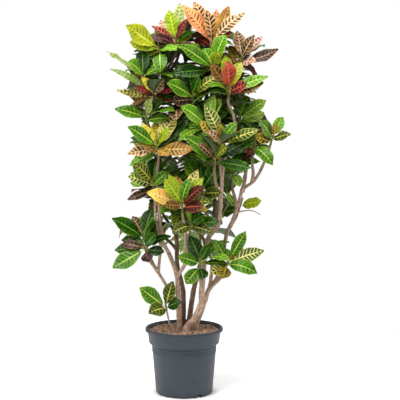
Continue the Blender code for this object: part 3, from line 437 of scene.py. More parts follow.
# %% Peat surface
SOIL_TOP = 0.240
SOIL_EDGE_DROP = 0.006
LOOSE_TOP = 0.0015
# The bumps of its top, coarse and fine: how high, how wide, and the level of the noise they take
TOP_BUMPS = ((0.0022, 0.021, 0.3), (0.0014, 0.006, 7.1))
FIT_GAP = 0.0003
SKIRT_GAP = FIT_GAP + 0.0001
SOIL_RINGS = 40
SOIL_SEGMENTS = 132
UNDER_STEP = 0.187
SKIRT_FOOT = 0.012
PEAT_FLOOR = 0.008


def soil_height(x, y):
    """Height of the peat's surface: domed, low at the wall, rough at two scales."""
    radius = math.hypot(x, y)
    edge = inner_wall_radius(SOIL_TOP - SOIL_EDGE_DROP)
    height = SOIL_TOP + LOOSE_TOP - (SOIL_EDGE_DROP - LOOSE_TOP) * (radius / edge) ** 3
    for rise, size, level in TOP_BUMPS:
        height += rise * noise.noise(Vector((x, y, level)) / size)
    return height


def peat_body():
    """The turned body: a rough top on rings, then a skirt inside the pot's wall, and a floor that
    ends above the pot's drain notches."""
    edge = inner_wall_radius(SOIL_TOP - SOIL_EDGE_DROP) - SKIRT_GAP
    turns = [2 * math.pi * turn / SOIL_SEGMENTS for turn in range(SOIL_SEGMENTS)]
    skirt = [(body_radius(PEAT_FLOOR) - POT_WALL - 0.004, PEAT_FLOOR),
             (body_radius(SKIRT_FOOT) - POT_WALL, SKIRT_FOOT),
             (body_radius(UNDER_STEP) - POT_WALL, UNDER_STEP),
             (inner_wall_radius(STEP_HEIGHT), STEP_HEIGHT)]
    points = [((radius - SKIRT_GAP) * math.cos(a), (radius - SKIRT_GAP) * math.sin(a), height)
              for radius, height in skirt for a in turns]
    for ring in range(SOIL_RINGS, 0, -1):
        radius = edge * ring / SOIL_RINGS
        for a in turns:
            x = radius * math.cos(a)
            y = radius * math.sin(a)
            points.append((x, y, soil_height(x, y)))
    return points, rows_to_faces(len(skirt) + SOIL_RINGS, SOIL_SEGMENTS)


print("the peat is", round(soil_height(0, 0) * 1000), "mm high in the middle")

# %% Peat crumbs
CRUMBS = 2600
CRUMB_SIZE = (0.0011, 0.0032)
BIG_CRUMBS = 0.05
CRUMB_LENGTHS = ((0.7, 1.9), (0.6, 1.0), (0.4, 0.8))
CRUMB_LEAN = 0.5
CRUMB_RISE = 0.3
CRUMB_MARGIN = 0.004
CRUMB_WAYS = ((1, 0, 0), (0, 1, 0), (-1, 0, 0), (0, -1, 0), (0, 0, 1), (0, 0, -1))
CRUMB_FACES = ((0, 1, 4), (1, 2, 4), (2, 3, 4), (3, 0, 4),
               (1, 0, 5), (2, 1, 5), (3, 2, 5), (0, 3, 5))
PEAT_TINTS = ("#705444", "#b8947a", "#d2ae92", "#e4c4a8", "#9c7a62", "#eed2b8", "#54423a")
PEAT_TINT_ODDS = (4, 7, 7, 5, 5, 2, 2)


def crumb(draw, centre, size):
    """One crumb of peat: a stretched, turned octahedron with uneven corners."""
    stretch = [draw.uniform(*limits) for limits in CRUMB_LENGTHS]
    turn = Matrix.Rotation(draw.uniform(0, math.tau), 3, "Z")
    turn = turn @ Matrix.Rotation(draw.uniform(-CRUMB_LEAN, CRUMB_LEAN), 3, "X")
    corners = []
    for way in CRUMB_WAYS:
        corner = Vector([w * s * size * draw.uniform(0.75, 1.15) for w, s in zip(way, stretch)])
        corners.append(tuple(Vector(centre) + turn @ corner))
    return corners


def scatter_crumbs(draw, points, faces, tints):
    """Strew crumbs over the surface, one in twenty of them twice as big."""
    edge = inner_wall_radius(SOIL_TOP) - CRUMB_MARGIN
    for number in range(CRUMBS):
        radius = edge * math.sqrt(draw.random())
        angle = draw.uniform(0, math.tau)
        x = radius * math.cos(angle)
        y = radius * math.sin(angle)
        size = draw.uniform(*CRUMB_SIZE) * (2.0 if draw.random() < BIG_CRUMBS else 1.0)
        first = len(points)
        points.extend(crumb(draw, (x, y, soil_height(x, y) + CRUMB_RISE * size), size))
        faces.extend(tuple(first + corner for corner in side) for side in CRUMB_FACES)
        tint = linear(draw.choices(PEAT_TINTS, PEAT_TINT_ODDS)[0])
        tints.extend([(*tint, 1.0)] * len(CRUMB_WAYS))


print("a crumb has", len(CRUMB_FACES), "faces")

# %% Peat finish
PEAT_FIBRE = 0.0015
DAMP_PATCH = 0.018


def peat_substrate():
    """Peat: dry fibre that scatters light and has no gloss. Its fibres are a few tenths of a
    millimetre thick and are drawn at 1.5 mm, so that they show."""
    material, tree, shader = start_material("peat_substrate", Specular_IOR_Level=0.2)
    where = add(tree, "TexCoord", take="Object")
    tint = add(tree, "Attribute", take="Color", attribute_name="tint")
    fibre = add(tree, "TexNoise", {"Vector": where, "Scale": 1 / PEAT_FIBRE, "Detail": 4.0},
                take="Fac")
    patch = add(tree, "TexNoise", {"Vector": where, "Scale": 1 / DAMP_PATCH, "Detail": 3.0},
                take="Fac")
    shade = add(tree, "MapRange", {0: fibre, 1: 0.30, 2: 0.70, 3: 0.55, 4: 1.35})
    damp = add(tree, "MapRange", {0: patch, 1: 0.35, 2: 0.65, 3: 0.72, 4: 1.15})
    light = add(tree, "Math", {0: shade, 1: damp}, operation="MULTIPLY")
    colour = add(tree, "VectorMath", {0: tint, "Scale": light}, operation="SCALE")
    bump = add(tree, "Bump", {"Height": fibre, "Strength": 0.8, "Distance": 0.0008})
    rough = add(tree, "MapRange", {0: fibre, 3: 0.85, 4: 0.98})
    plug(tree, shader, Base_Color=colour, Roughness=rough, Normal=bump)
    return material


peat_points, peat_faces = peat_body()
peat_tints = [(*linear("#b8947c"), 1.0)] * len(peat_points)
scatter_crumbs(random.Random("peat"), peat_points, peat_faces, peat_tints)
peat_mesh = bpy.data.meshes.new("peat")
peat_mesh.from_pydata(peat_points, [], peat_faces)
store(peat_mesh, "tint", "FLOAT_COLOR", peat_tints)
make_piece("peat_fill", peat_mesh, peat_substrate(), "soil", sharp=30)
print("peat faces", len(peat_mesh.polygons), "crumbs", CRUMBS)

# %% [markdown]
# ## Where the wood runs
# Six stems come out of the peat. Each one is a limb with a fork or two, and each rosette sits on
# a branch that leaves a limb at some height. A growth rule could branch them by itself, but this
# plant's own crown has its leaves in their own places, so each limb and each crown is given as
# measured. The routes are the ones that the plain solids follow, so that the bark made here lies
# where they lie. A branch is a cubic curve that leaves its limb and turns up into the line of the
# leafy shoot it carries.

# %% Wood: routes
# Each limb, in millimetres: its stem, the limb it forks from and the height of the fork, its
# radius at its start and end, and the way its centre line goes
LIMBS = {
    "left": ("stem_left", None, 0, 11.2, 5, (
        (-17, -22, 180.3), (-17, -22, 252), (-20, -26, 320), (-23, -30, 390), (-28, -30, 456),
        (-54, -38, 531), (-80, -45, 583), (-88, -52, 650), (-93, -62, 740), (-99, -72, 816))),
    "left_fork": ("stem_left", "left", 448, 7.6, 5, (
        (3, -45, 496), (6, -62, 560), (7, -86, 620))),
    "low_left": ("stem_left", "left", 345, 7, 4.8, (
        (-49, -30, 385), (-70, -34, 420), (-97, -38, 466), (-120, -34, 506))),
    "low_left_twig": ("stem_left", "low_left", 466, 5.6, 4.8, (
        (-90, -44, 520), (-88, -50, 585), (-104, -64, 665))),
    "back_left": ("stem_back_left", None, 0, 10.6, 5, (
        (-4, 30, 180.3), (-4, 30, 252), (-5, 30, 385), (-26, 32, 478), (-29, 34, 583),
        (-52, 40, 722), (-90, 48, 872), (-104, 46, 1003), (-96, 36, 1097), (-74, 22, 1190))),
    "back": ("stem_back", None, 0, 11, 5, (
        (18, 14, 180.3), (18, 14, 252), (30, 15, 351), (45, 22, 426), (90, 40, 580),
        (110, 43, 621), (116, 42, 733), (100, 32, 880), (70, 26, 1000), (80, 22, 1100),
        (98, 12, 1200))),
    "front": ("stem_front", None, 0, 13.2, 5, (
        (10, -44, 180.3), (10, -44, 252), (38, -46, 290), (63, -48, 345), (68, -50, 416),
        (86, -50, 580), (127, -52, 643), (135, -55, 715), (139, -58, 771), (148, -58, 876),
        (176, -58, 947), (190, -58, 995), (182, -60, 1050))),
    "right": ("stem_right", None, 0, 10.8, 5, (
        (44, -10, 180.3), (44, -10, 252), (67, -9, 317), (90, -8, 388), (126, -6, 441),
        (144, -4, 516), (160, -2, 602), (182, 0, 655), (204, 0, 715), (220, 0, 770),
        (263, -4, 806), (295, -6, 863))),
    "right_back": ("stem_right", "right", 350, 8, 5, (
        (94, 6, 395), (103, 16, 450), (102, 26, 510))),
    "bare_twig": ("stem_right", "right", 684, 3.2, 1.2, (
        (232, 4, 692), (262, 2, 690), (288, -2, 676))),
    "right_fork": ("stem_right", "right", 762, 7.5, 5, (
        (231, 12, 831), (227, 34, 920), (214, 52, 1000), (206, 42, 1100))),
    "front_shoot": ("shoot_front_left", None, 0, 3.4, 3.2, (
        (-38, -50, 180.3), (-38, -50, 252), (-54, -60, 277))),
}
print("limbs", len(LIMBS))

# %% Rosettes: where they sit
# Each rosette, in millimetres: colour group, limb, height at which its branch leaves the limb
# (None where it ends the limb), crown, and the leaves of the side seen first as the way from the
# crown to the leaf's tip and the blade's width
ROSETTES = {
    "top_orange": ("orange", "back", None, (102, 0, 1312), (
        (-106, -20, 143, 52), (-63, 20, 158, 45), (-17, -25, 124, 48), (21, 35, 129, 30),
        (65, 20, 139, 40), (124, -10, 113, 42), (-59, 60, 25, 46))),
    "top_green": ("lime", "back_left", None, (-30, -10, 1317), (
        (-26, 25, 117, 44), (18, 55, 145, 37), (-88, -20, 62, 28), (43, -25, 86, 28),
        (-58, 50, 83, 38), (-90, -40, 23, 36), (56, 70, 40, 40))),
    "left_lime": ("lime", "back_left", 1150, (-91, -30, 1296), (
        (-119, -40, 86, 66), (-111, -10, 23, 45), (6, -70, -89, 44), (25, 20, -43, 40))),
    "right_brown": ("bronze", "right_fork", None, (213, 10, 1253), (
        (-17, 30, 110, 42), (48, -15, 92, 38), (79, 40, 89, 26), (138, 0, 40, 40),
        (-47, 50, 55, 42), (54, -60, -5, 36))),
    "right_red": ("red", "front", None, (167, -60, 1138), (
        (-4, -35, 111, 52), (-15, 0, 133, 44), (44, 40, 111, 40), (145, -10, 56, 36),
        (69, -45, 27, 44), (129, -20, 32, 46), (-70, -10, 103, 42))),
    "upper_centre": ("green", "back", 1080, (110, -20, 1227), (
        (43, -30, 120, 56), (15, -50, 60, 36), (-129, -60, 83, 46), (-40, 50, 70, 48),
        (-154, -60, -23, 45))),
    "left_upper": ("lime", "back_left", 1100, (-151, -50, 1194), (
        (-53, -60, 55, 50), (-133, 20, 92, 40), (-1, 30, 98, 45))),
    "left_red": ("red", "back_left", 985, (-113, -30, 1123), (
        (-161, -20, 97, 23), (-72, -60, 26, 29), (-44, -20, 66, 30), (40, -20, 59, 38),
        (-137, 10, 21, 22))),
    "centre_upper": ("green", "back", 995, (33, -40, 1118), (
        (-94, -70, 52, 52), (-17, 40, 106, 44), (27, -40, 79, 34), (-76, -30, -20, 45))),
    "left_mid": ("green", "back_left", 930, (-140, -20, 1040), (
        (-116, -30, 35, 40), (20, -40, 72, 36), (-52, 50, 50, 36), (78, -50, -1, 32))),
    "centre_mid": ("green", "front", 860, (83, -60, 1011), (
        (-91, -60, 71, 52), (30, 0, 112, 38), (54, 10, 103, 38), (-52, 30, 118, 44))),
    "centre_veined": ("gold", "front", 790, (141, -90, 940), (
        (-62, -30, 147, 46), (-81, -50, 88, 36), (-55, -60, 52, 34), (142, -40, 57, 36),
        (-17, -30, 82, 32))),
    "right_big": ("green", "right_fork", 880, (203, 20, 1029), (
        (105, -20, 77, 45), (98, 30, 32, 50), (39, 40, 91, 46))),
    "far_right": ("green", "right", None, (329, -10, 962), (
        (-44, -50, 66, 46), (68, -40, 18, 34), (40, 20, 83, 36), (10, 0, 58, 30),
        (-68, -20, 8, 36))),
    "right_low": ("green", "right", 800, (263, -40, 938), (
        (69, -60, -77, 46), (-27, -30, -31, 34))),
    "left_centre": ("gold", "left", None, (-99, -80, 931), (
        (-106, -50, 77, 46), (-60, 10, 89, 27), (66, 30, 118, 50), (46, -40, 72, 28),
        (116, 40, 119, 56), (132, -30, -9, 48), (-111, -50, -25, 38), (41, -80, -32, 32),
        (-41, -70, -15, 30), (-106, 10, -72, 30))),
    "right_centre": ("green", "front", 730, (116, -90, 885), (
        (-112, -50, 85, 50), (-63, -60, 60, 32), (46, -70, 49, 36), (142, -20, 76, 46),
        (137, -50, -33, 38))),
    "left_low_mid": ("green", "low_left_twig", None, (-115, -70, 789), (
        (-70, -30, 82, 45), (-95, -50, 33, 45), (11, 20, 107, 56), (53, -20, 49, 32),
        (-97, -20, -55, 28))),
    "centre_yellow": ("gold", "left_fork", None, (-7, -130, 713), (
        (-130, -50, 50, 48), (-67, -30, 98, 44), (-50, 10, 116, 36), (60, 30, 134, 36),
        (30, -20, 102, 32), (79, -10, 105, 38), (79, -50, 73, 38), (-67, -70, 1, 34),
        (80, -60, -5, 45))),
    "centre_dark": ("green", "front", 620, (70, -40, 770), (
        (-11, 20, 101, 52), (59, 0, 94, 45), (70, -60, -11, 40), (-63, 20, 120, 52))),
    "right_inner": ("green", "right", 700, (184, 10, 845), (
        (26, -40, -64, 34), (-60, 40, 60, 46))),
    "right_small": ("lime", "right", 628, (212, 30, 715), (
        (78, -40, 13, 41), (-54, -50, 43, 29), (-67, 40, -32, 42))),
    "low_left_up": ("green", "low_left", None, (-149, -28, 585), (
        (-122, -50, 78, 52), (32, 10, 119, 52), (46, -50, 68, 46), (-45, 40, 89, 34))),
    "low_left": ("green", "low_left", 468, (-150, -76, 557), (
        (-119, -40, -82, 54), (-113, 10, -13, 36), (46, -40, 51, 36), (76, -20, -21, 34),
        (15, 20, -60, 38), (-88, 30, 11, 30))),
    "centre_low": ("green", "left_fork", 505, (24, -110, 642), (
        (-69, -60, -36, 38), (108, -20, 10, 38), (57, -40, 35, 38), (84, -40, -33, 34))),
    "centre_low_dark": ("green", "front", 400, (60, -100, 496), (
        (-39, -10, 101, 48), (-84, -50, 23, 42), (35, -10, 67, 32), (-54, -20, -82, 44),
        (13, 0, -67, 40))),
    "low_right": ("gold", "right", 395, (164, -85, 496), (
        (68, 0, 119, 38), (138, -30, 46, 44), (113, -40, -42, 45), (-18, -60, -59, 42),
        (-65, -50, -43, 34), (-51, -20, 88, 30))),
    "bottom_left": ("green", "front_shoot", None, (-68, -70, 323), (
        (-100, -20, 77, 52), (26, 0, 102, 42), (-67, -60, -21, 50), (56, -30, 25, 40))),
    "rear_top_left": ("green", "back_left", 1110, (-70, 140, 1225), ()),
    "rear_top_right": ("lime", "back", 1050, (90, 150, 1180), ()),
    "rear_crown": ("orange", "back_left", 1170, (-10, 90, 1320), ()),
    "rear_right_high": ("red", "right_fork", 960, (190, 130, 1090), ()),
    "rear_left_high": ("bronze", "back_left", 960, (-165, 110, 1075), ()),
    "rear_centre_high": ("green", "back", 900, (15, 150, 1010), ()),
    "rear_left_mid": ("green", "back_left", 790, (-110, 150, 905), ()),
    "rear_centre_mid": ("gold", "back", 770, (110, 160, 890), ()),
    "rear_right_mid": ("green", "right_fork", 815, (250, 110, 920), ()),
    "rear_left_inner": ("green", "back_left", 640, (-20, 150, 775), ()),
    "rear_right_inner": ("green", "back", 630, (165, 130, 745), ()),
    "rear_left_low": ("gold", "back_left", 540, (-120, 110, 665), ()),
    "rear_centre_low": ("green", "right_back", None, (60, 140, 600), ()),
    "inner_top": ("green", "back", 1060, (55, 70, 1180), ()),
    "inner_top_right": ("green", "right_fork", 1050, (150, 60, 1190), ()),
    "inner_top_left": ("green", "back_left", 1010, (-160, 20, 1165), ()),
    "inner_high": ("bronze", "back", 930, (-10, 40, 1060), ()),
    "inner_right": ("green", "front", 905, (130, 10, 1055), ()),
    "inner_left": ("green", "back_left", 850, (-40, 20, 965), ()),
    "inner_centre": ("green", "back", 740, (40, 30, 870), ()),
    "inner_left_low": ("bronze", "back_left", 600, (-100, 30, 735), ()),
    "inner_low": ("green", "back", 560, (30, 50, 690), ()),
}
# Leaves that show the front their edge more than their face
EDGE_ON = {"left_upper": (1,), "left_mid": (2,)}
# Leaves that bow more or less than the others, as a share of their length
BOWS = {
    ("left_lime", 0): -0.09, ("left_lime", 2): 0.16, ("right_low", 0): 0.20,
    ("right_inner", 0): 0.16, ("centre_low", 0): 0.16, ("right_brown", 3): -0.16,
    ("left_centre", 0): -0.04, ("low_left", 0): -0.04, ("right_red", 0): -0.04,
    ("left_upper", 1): -0.05, ("left_red", 4): -0.12, ("left_red", 0): 0.03,
    ("low_right", 0): -0.12, ("low_right", 2): 0.13, ("right_small", 0): -0.04,
    ("right_small", 1): -0.10, ("bottom_left", 0): -0.06,
    ("bottom_left", 2): 0.08, ("left_low_mid", 4): -0.06}
print("rosettes", len(ROSETTES), "leaves by hand", sum(len(row[4]) for row in ROSETTES.values()))


# %% Wood: functions
MM = 1000
EYE = Vector(CAMERA_PLACE)
VIEWER = Vector((0.0, -1.0, 0.0))
UP = Vector((0.0, 0.0, 1.0))
SHOOT_RADIUS = 0.0045
SHOOT_TIP_RADIUS = 0.0030
SHOOT_LENGTH = 0.048
SHORT_SHOOT = 0.030
CROWN_RISE = 0.020
STRAIGHT_END = 0.015
# How much of a shoot's way is that from its foot, how much is up, and how much is outward
SHOOT_WAYS = (0.6, 0.8, 0.2)
BRANCH_RADIUS = 0.0048
BRANCH_MAX_RADIUS = 0.008
BRANCH_THICKER = 0.0012
BRANCH_SHARES = (0, 0.35, 0.7, 1)
LIMB_TAPER = 0.8


def metres(measures):
    """A row of measures in millimetres, in metres."""
    return tuple(measure / MM for measure in measures)


def on_sight_line(place):
    """A place given as it looks from the front on the pot's own plane, at its own depth."""
    flat = Vector((place[0], 0, place[2]))
    return flat + (EYE - flat) * (place[1] / EYE.y)


def point_at_height(route, height):
    """The point of a centre line at a height, and the way the line runs there."""
    for low, high in zip(route, route[1:]):
        if low.z <= height <= high.z:
            share = (height - low.z) / (high.z - low.z)
            return low.lerp(high, share), (high - low).normalized()
    return route[-1].copy(), (route[-1] - route[-2]).normalized()


def shoot_of(crown, foot, length):
    """Axis and base of the leafy shoot whose leaves meet at a crown."""
    outward = Vector((crown.x, crown.y, 0)).normalized()
    ways = ((crown - foot).normalized(), UP, outward)
    axis = sum((way * share for way, share in zip(ways, SHOOT_WAYS)), Vector()).normalized()
    return axis, crown + axis * (CROWN_RISE - length)


def lay_out_wood():
    """The centre lines of limbs and branches, and the shoot of each rosette."""
    routes = {}
    for limb, (stem, parent, fork, start_radius, end_radius, way) in LIMBS.items():
        routes[limb] = [Vector(metres(point)) for point in way]
        if parent:
            routes[limb].insert(0, point_at_height(routes[parent], fork / MM)[0])
    shoots = {}
    branches = {}
    for name, (colour, limb, height, crown, seen) in ROSETTES.items():
        crown = on_sight_line(metres(crown))
        length = SHORT_SHOOT if limb == "front_shoot" else SHOOT_LENGTH
        foot = routes[limb][-1]
        if height is not None:
            foot, way = point_at_height(routes[limb], height / MM)
        axis, base = shoot_of(crown, foot, length)
        end = base - axis * FIT_GAP
        turn = end - axis * STRAIGHT_END
        if height is None:
            routes[limb] += [turn, end]
        else:
            reach = (turn - foot).length
            leaving = (way * 0.5 + (turn - foot).normalized()).normalized() * reach
            arriving = axis * reach
            branches[name] = [hermite(foot, turn, leaving, arriving, share)
                              for share in BRANCH_SHARES] + [end]
        shoots[name] = (base, axis, length)
    return routes, branches, shoots


def hermite(start, end, leaving, arriving, share):
    """A point on the cubic that leaves and arrives along the two given ways."""
    square = share * share
    cube = square * share
    return (start * (2 * cube - 3 * square + 1) + leaving * (cube - 2 * square + share)
            + end * (3 * square - 2 * cube) + arriving * (cube - square))


def limb_radii(limb, route):
    """Radius at each point of a limb, wide at the soil and thin at the end."""
    start_radius, end_radius = metres(LIMBS[limb][3:5])
    lengths = [0.0]
    for low, high in zip(route, route[1:]):
        lengths.append(lengths[-1] + (high - low).length)
    return [start_radius + (end_radius - start_radius) * (length / lengths[-1]) ** LIMB_TAPER
            for length in lengths]


def branch_radii(name, points):
    """Radius at each point of a branch."""
    limb = ROSETTES[name][1]
    first = min(BRANCH_MAX_RADIUS, LIMBS[limb][4] / MM + BRANCH_THICKER)
    return [first + (BRANCH_RADIUS - first) * share / (len(points) - 1)
            for share in range(len(points))]


routes, branches, shoots = lay_out_wood()
print("branches", len(branches), "shoots", len(shoots))

# %% [markdown]
# ## Bark
# The wood is pale, pinkish brown and smooth for its age, with fine cracks that run along it, small
# dark pores, and the low scars that old leaves leave behind, in a spiral up the stem. Toward the
# young ends it turns greenish. A curve with a round bevel would give it as smooth pipes. A tube
# made of rings along a smooth line can hold more: the rings are close enough here, 4 mm, to carry
# the scars, the ridges and the swelling at each fork as real shape. Each point also keeps its
# place in the grain, so that the material can draw cracks along the wood whichever way it leans.

# %% Bark: lines and rings
RING_SPACING = 0.004


def smooth_line(points, spacing):
    """A smooth curve through points, as points at an even spacing, with its share of the way."""
    ends = [points[0] * 2 - points[1]] + list(points) + [points[-1] * 2 - points[-2]]
    line = []
    marks = []
    for number in range(len(points) - 1):
        before, low, high, after = ends[number:number + 4]
        steps = max(1, round((high - low).length / spacing))
        for step in range(steps):
            t = step / steps
            line.append(0.5 * (low * 2 + (high - before) * t
                               + (before * 2 - low * 5 + high * 4 - after) * t * t
                               + (low * 3 - before - high * 3 + after) * t * t * t))
            marks.append(number + t)
    return line + [points[-1].copy()], marks + [len(points) - 1]


def rings_along(line, radii, sides, relief):
    """Rings of points round a line, pushed out by a relief, and the place of each in the grain."""
    rings = []
    grain = []
    side = Vector((1, 0, 0))
    length = 0.0
    for number, point in enumerate(line):
        before = line[max(number - 1, 0)]
        after = line[min(number + 1, len(line) - 1)]
        length += (point - before).length
        along = (after - before).normalized()
        side = (side - along * side.dot(along)).normalized()
        other = along.cross(side)
        for turn in range(sides):
            angle = 2 * math.pi * turn / sides
            way = side * math.cos(angle) + other * math.sin(angle)
            radius = radii[number] + relief(length, angle, radii[number])
            rings.append(point + way * radius)
            grain.append((math.cos(angle), math.sin(angle), length))
    return rings, grain


sample_line = smooth_line([UP * 0, UP * 0.02, UP * 0.05], RING_SPACING)[0]
print("a smooth line of 50 mm has", len(sample_line), "points")

# %% Bark: relief
SCAR_SPACING = 0.013
SCAR_RISE = 0.0009
SCAR_HEIGHT = 0.0024
SCAR_ARC = 0.8
GOLDEN_ANGLE = math.radians(137.5)
FORK_SWELL = 0.35
FORK_SWELL_LENGTH = 0.016
FOOT_SWELL = 0.16
FOOT_SWELL_LENGTH = 0.030
RIDGE_RISE = 0.0006
RIDGE_LENGTH = 0.045
LUMP_SHARE = 0.10
LUMP_LENGTH = 0.030


def bark_relief(seed):
    """How far bark stands out at a length and an angle: ridges along it, and leaf scars."""
    draw = random.Random(seed)
    offset = draw.uniform(0, 50)
    first = draw.uniform(0, math.tau)

    def relief(length, angle, radius):
        place = Vector((math.cos(angle) * 1.3, math.sin(angle) * 1.3,
                        length / RIDGE_LENGTH + offset))
        ridges = noise.noise(place * 1.6) * RIDGE_RISE
        lumps = noise.noise(Vector((offset, 3.0, length / LUMP_LENGTH))) * LUMP_SHARE * radius
        scar = round(length / SCAR_SPACING)
        off = (angle - first - GOLDEN_ANGLE * scar + math.pi) % math.tau - math.pi
        near = (length - scar * SCAR_SPACING) / SCAR_HEIGHT
        return lumps + ridges + SCAR_RISE * math.exp(-near * near - (off / SCAR_ARC) ** 2)

    return relief


def tube_piece(points, radii, sides, seed, fork, age):
    """Points, grain and age of one limb or branch."""
    line, marks = smooth_line(points, RING_SPACING)
    fine = np.interp(marks, range(len(points)), radii)
    gone = 0.0
    ages = []
    for number, point in enumerate(line):
        gone += (point - line[max(number - 1, 0)]).length
        if fork:
            fine[number] *= 1 + FORK_SWELL * math.exp(-(gone / FORK_SWELL_LENGTH) ** 2)
        else:
            over = max(0.0, point.z - SOIL_TOP)
            fine[number] *= 1 + FOOT_SWELL * math.exp(-(over / FOOT_SWELL_LENGTH) ** 2)
        ages += [age[0] + (age[1] - age[0]) * number / (len(line) - 1)] * sides
    rings, grain = rings_along(line, fine, sides, bark_relief(seed))
    return rings, grain, ages, len(line)


print("leaf scars every", round(SCAR_SPACING * 1000), "mm")

# %% [markdown]
# The bark's material starts from what bark is: dead cork cells over living green. It scatters
# light and has next to no gloss. A picture of bark would have to be wrapped round each tube and
# would stretch at the forks, so the pattern is worked out from each point's place in the grain.
# The colour runs from pale brown, through darker cracks stretched along the grain, to olive where
# the wood is young; the bump follows the same cracks. The two stems at the back stand in the
# crown's shade, so they have the same bark in darker colours: that darkness is painted shade.

# %% Bark: material
# Across, the grain counts 1 for a radius of the wood, so 4.2 puts the cracks 2 to 3 mm apart on a
# stem 20 mm thick. Along it counts metres: cracks 17 mm long, growth bands 3 mm apart.
CRACK_SCALE = (4.2, 4.2, 60.0)
BAND_SCALE = (2.2, 2.2, 320.0)
PORE_SPACING = 0.006
WORN_PATCH = 0.016


def young_croton_bark(name, crack, cork, worn_cork):
    """Bark: a pale cork skin with fine cracks and pores of 1 mm, dull, greener when young."""
    material, tree, shader = start_material(name, Roughness=0.8, Specular_IOR_Level=0.25)
    grain = add(tree, "Attribute", take="Vector", attribute_name="grain")
    age = add(tree, "Attribute", take="Fac", attribute_name="age")
    along = add(tree, "VectorMath", {0: grain, 1: CRACK_SCALE}, operation="MULTIPLY")
    round_it = add(tree, "VectorMath", {0: grain, 1: BAND_SCALE}, operation="MULTIPLY")
    cracks = add(tree, "TexNoise", {"Vector": along, "Scale": 1.0, "Detail": 5.0,
                                    "Roughness": 0.65}, take="Fac")
    bands = add(tree, "TexNoise", {"Vector": round_it, "Scale": 1.0, "Detail": 2.0}, take="Fac")
    where = add(tree, "TexCoord", take="Object")
    pores = add(tree, "TexVoronoi", {"Vector": where, "Scale": 1 / PORE_SPACING}, take="Distance")
    patch = add(tree, "TexNoise", {"Vector": where, "Scale": 1 / WORN_PATCH, "Detail": 3.0},
                take="Fac")
    crack_mask = add(tree, "MapRange", {0: cracks, 1: 0.36, 2: 0.58})
    skin = add(tree, "Mix", {0: crack_mask, MIX_A: paint(crack), MIX_B: paint(cork)}, **COLOUR_MIX)
    band_mask = add(tree, "MapRange", {0: bands, 1: 0.52, 2: 0.70, 4: 0.45})
    banded = add(tree, "Mix", {0: band_mask, MIX_A: skin, MIX_B: paint("#8d6f5c")}, **COLOUR_MIX)
    pore_mask = add(tree, "MapRange", {0: pores, 1: 0.10, 2: 0.20, 3: 0.75, 4: 0.0})
    pored = add(tree, "Mix", {0: pore_mask, MIX_A: banded, MIX_B: paint("#5d4436")}, **COLOUR_MIX)
    patch_mask = add(tree, "MapRange", {0: patch, 1: 0.46, 2: 0.62, 4: 0.75})
    worn = add(tree, "Mix", {0: patch_mask, MIX_A: pored, MIX_B: paint(worn_cork)}, **COLOUR_MIX)
    young = add(tree, "MapRange", {0: age, 1: 0.45, 2: 1.0, 4: 0.8})
    colour = add(tree, "Mix", {0: young, MIX_A: worn, MIX_B: paint("#6b6240")}, **COLOUR_MIX)
    bump = add(tree, "Bump", {"Height": cracks, "Strength": 0.7, "Distance": 0.0008})
    plug(tree, shader, Base_Color=colour, Normal=bump)
    return material


print("cracks", round(1000 / CRACK_SCALE[2]), "mm long")

# %% Bark: stems
LIMB_SIDES = 16
BRANCH_SIDES = 10
# The stems whose bark is painted darker, as painted shade from the crown
SHADED_STEMS = ("stem_back", "stem_back_left")


def make_wood(stem, bark):
    """The bark of one stem with its forks and branches, in place of the plain stem."""
    points = []
    faces = []
    grain = []
    ages = []
    pieces = [(limb, route, limb_radii(limb, route), LIMB_SIDES, bool(LIMBS[limb][1]), (0.0, 0.75))
              for limb, route in routes.items() if LIMBS[limb][0] == stem]
    pieces += [(name, way, branch_radii(name, way), BRANCH_SIDES, True, (0.55, 1.0))
               for name, way in branches.items() if LIMBS[ROSETTES[name][1]][0] == stem]
    for name, way, radii, sides, fork, age in pieces:
        rings, lines, old, rows = tube_piece(way, radii, sides, name, fork, age)
        faces += rows_to_faces(rows, sides, len(points))
        points += rings
        grain += lines
        ages += old
    mesh = bpy.data.meshes.new(stem)
    mesh.from_pydata(points, [], faces)
    store(mesh, "grain", "FLOAT_VECTOR", grain)
    store(mesh, "age", "FLOAT", ages)
    return make_piece("bark_" + stem, mesh, bark, stem, sharp=60)


bark = young_croton_bark("young_croton_bark", "#7c604f", "#dcc0aa", "#a08068")
# The same bark in darker colours: painted shade for the stems in the crown's shade
shaded_bark = young_croton_bark("shaded_croton_bark", "#4c382e", "#8f745f", "#604a3c")
for stem in dict.fromkeys(row[0] for row in LIMBS.values()):
    piece = make_wood(stem, shaded_bark if stem in SHADED_STEMS else bark)
    print(piece.name, "faces", len(piece.data.polygons))

# %% [markdown]
# ## Where the leaves grow
# Croton leaves stand in a spiral, each one turned 137.5 degrees from the last. Old leaves spread
# or hang from the foot of the shoot, and young ones stand up near its tip. The leaves of the side
# that the camera sees are placed one by one by their tips; the rest follow the spiral. Scattering
# copies of one leaf on the shoots would be quicker, but they would cut through each other. Here
# each leaf is tried in a few nearby positions, and kept in the first where it crosses nothing. The
# leaf's middle line is a simple arc from its root to its tip, and its face turns to the light.
#
# These rules, their order and their seeded draws are those of the plain solids, so the same
# leaves come out in the same places.

# %% Leaves: the plain shape
RIB_DEPTH = 0.0022
PETIOLE_HALF_WIDTH = 0.0015
PETIOLE_SHARE = 0.12
SEEN_STATIONS = (0.0, 0.115, 0.33, 0.60, 0.84, 1.0)
GROWN_STATIONS = (0.0, 0.115, 0.40, 0.76, 1.0)
EDGE_WAVE = 0.0025
BLADE_FULLNESS = 0.55
CLEARANCE = 0.0009


def tube_surface(points, radii, sides, extra=0.0):
    """Corners and faces of a closed tube, to test what comes near it."""
    corners = rings_along(points, radii, sides, lambda length, angle, radius: extra)[0]
    return corners, rows_to_faces(len(points), sides)


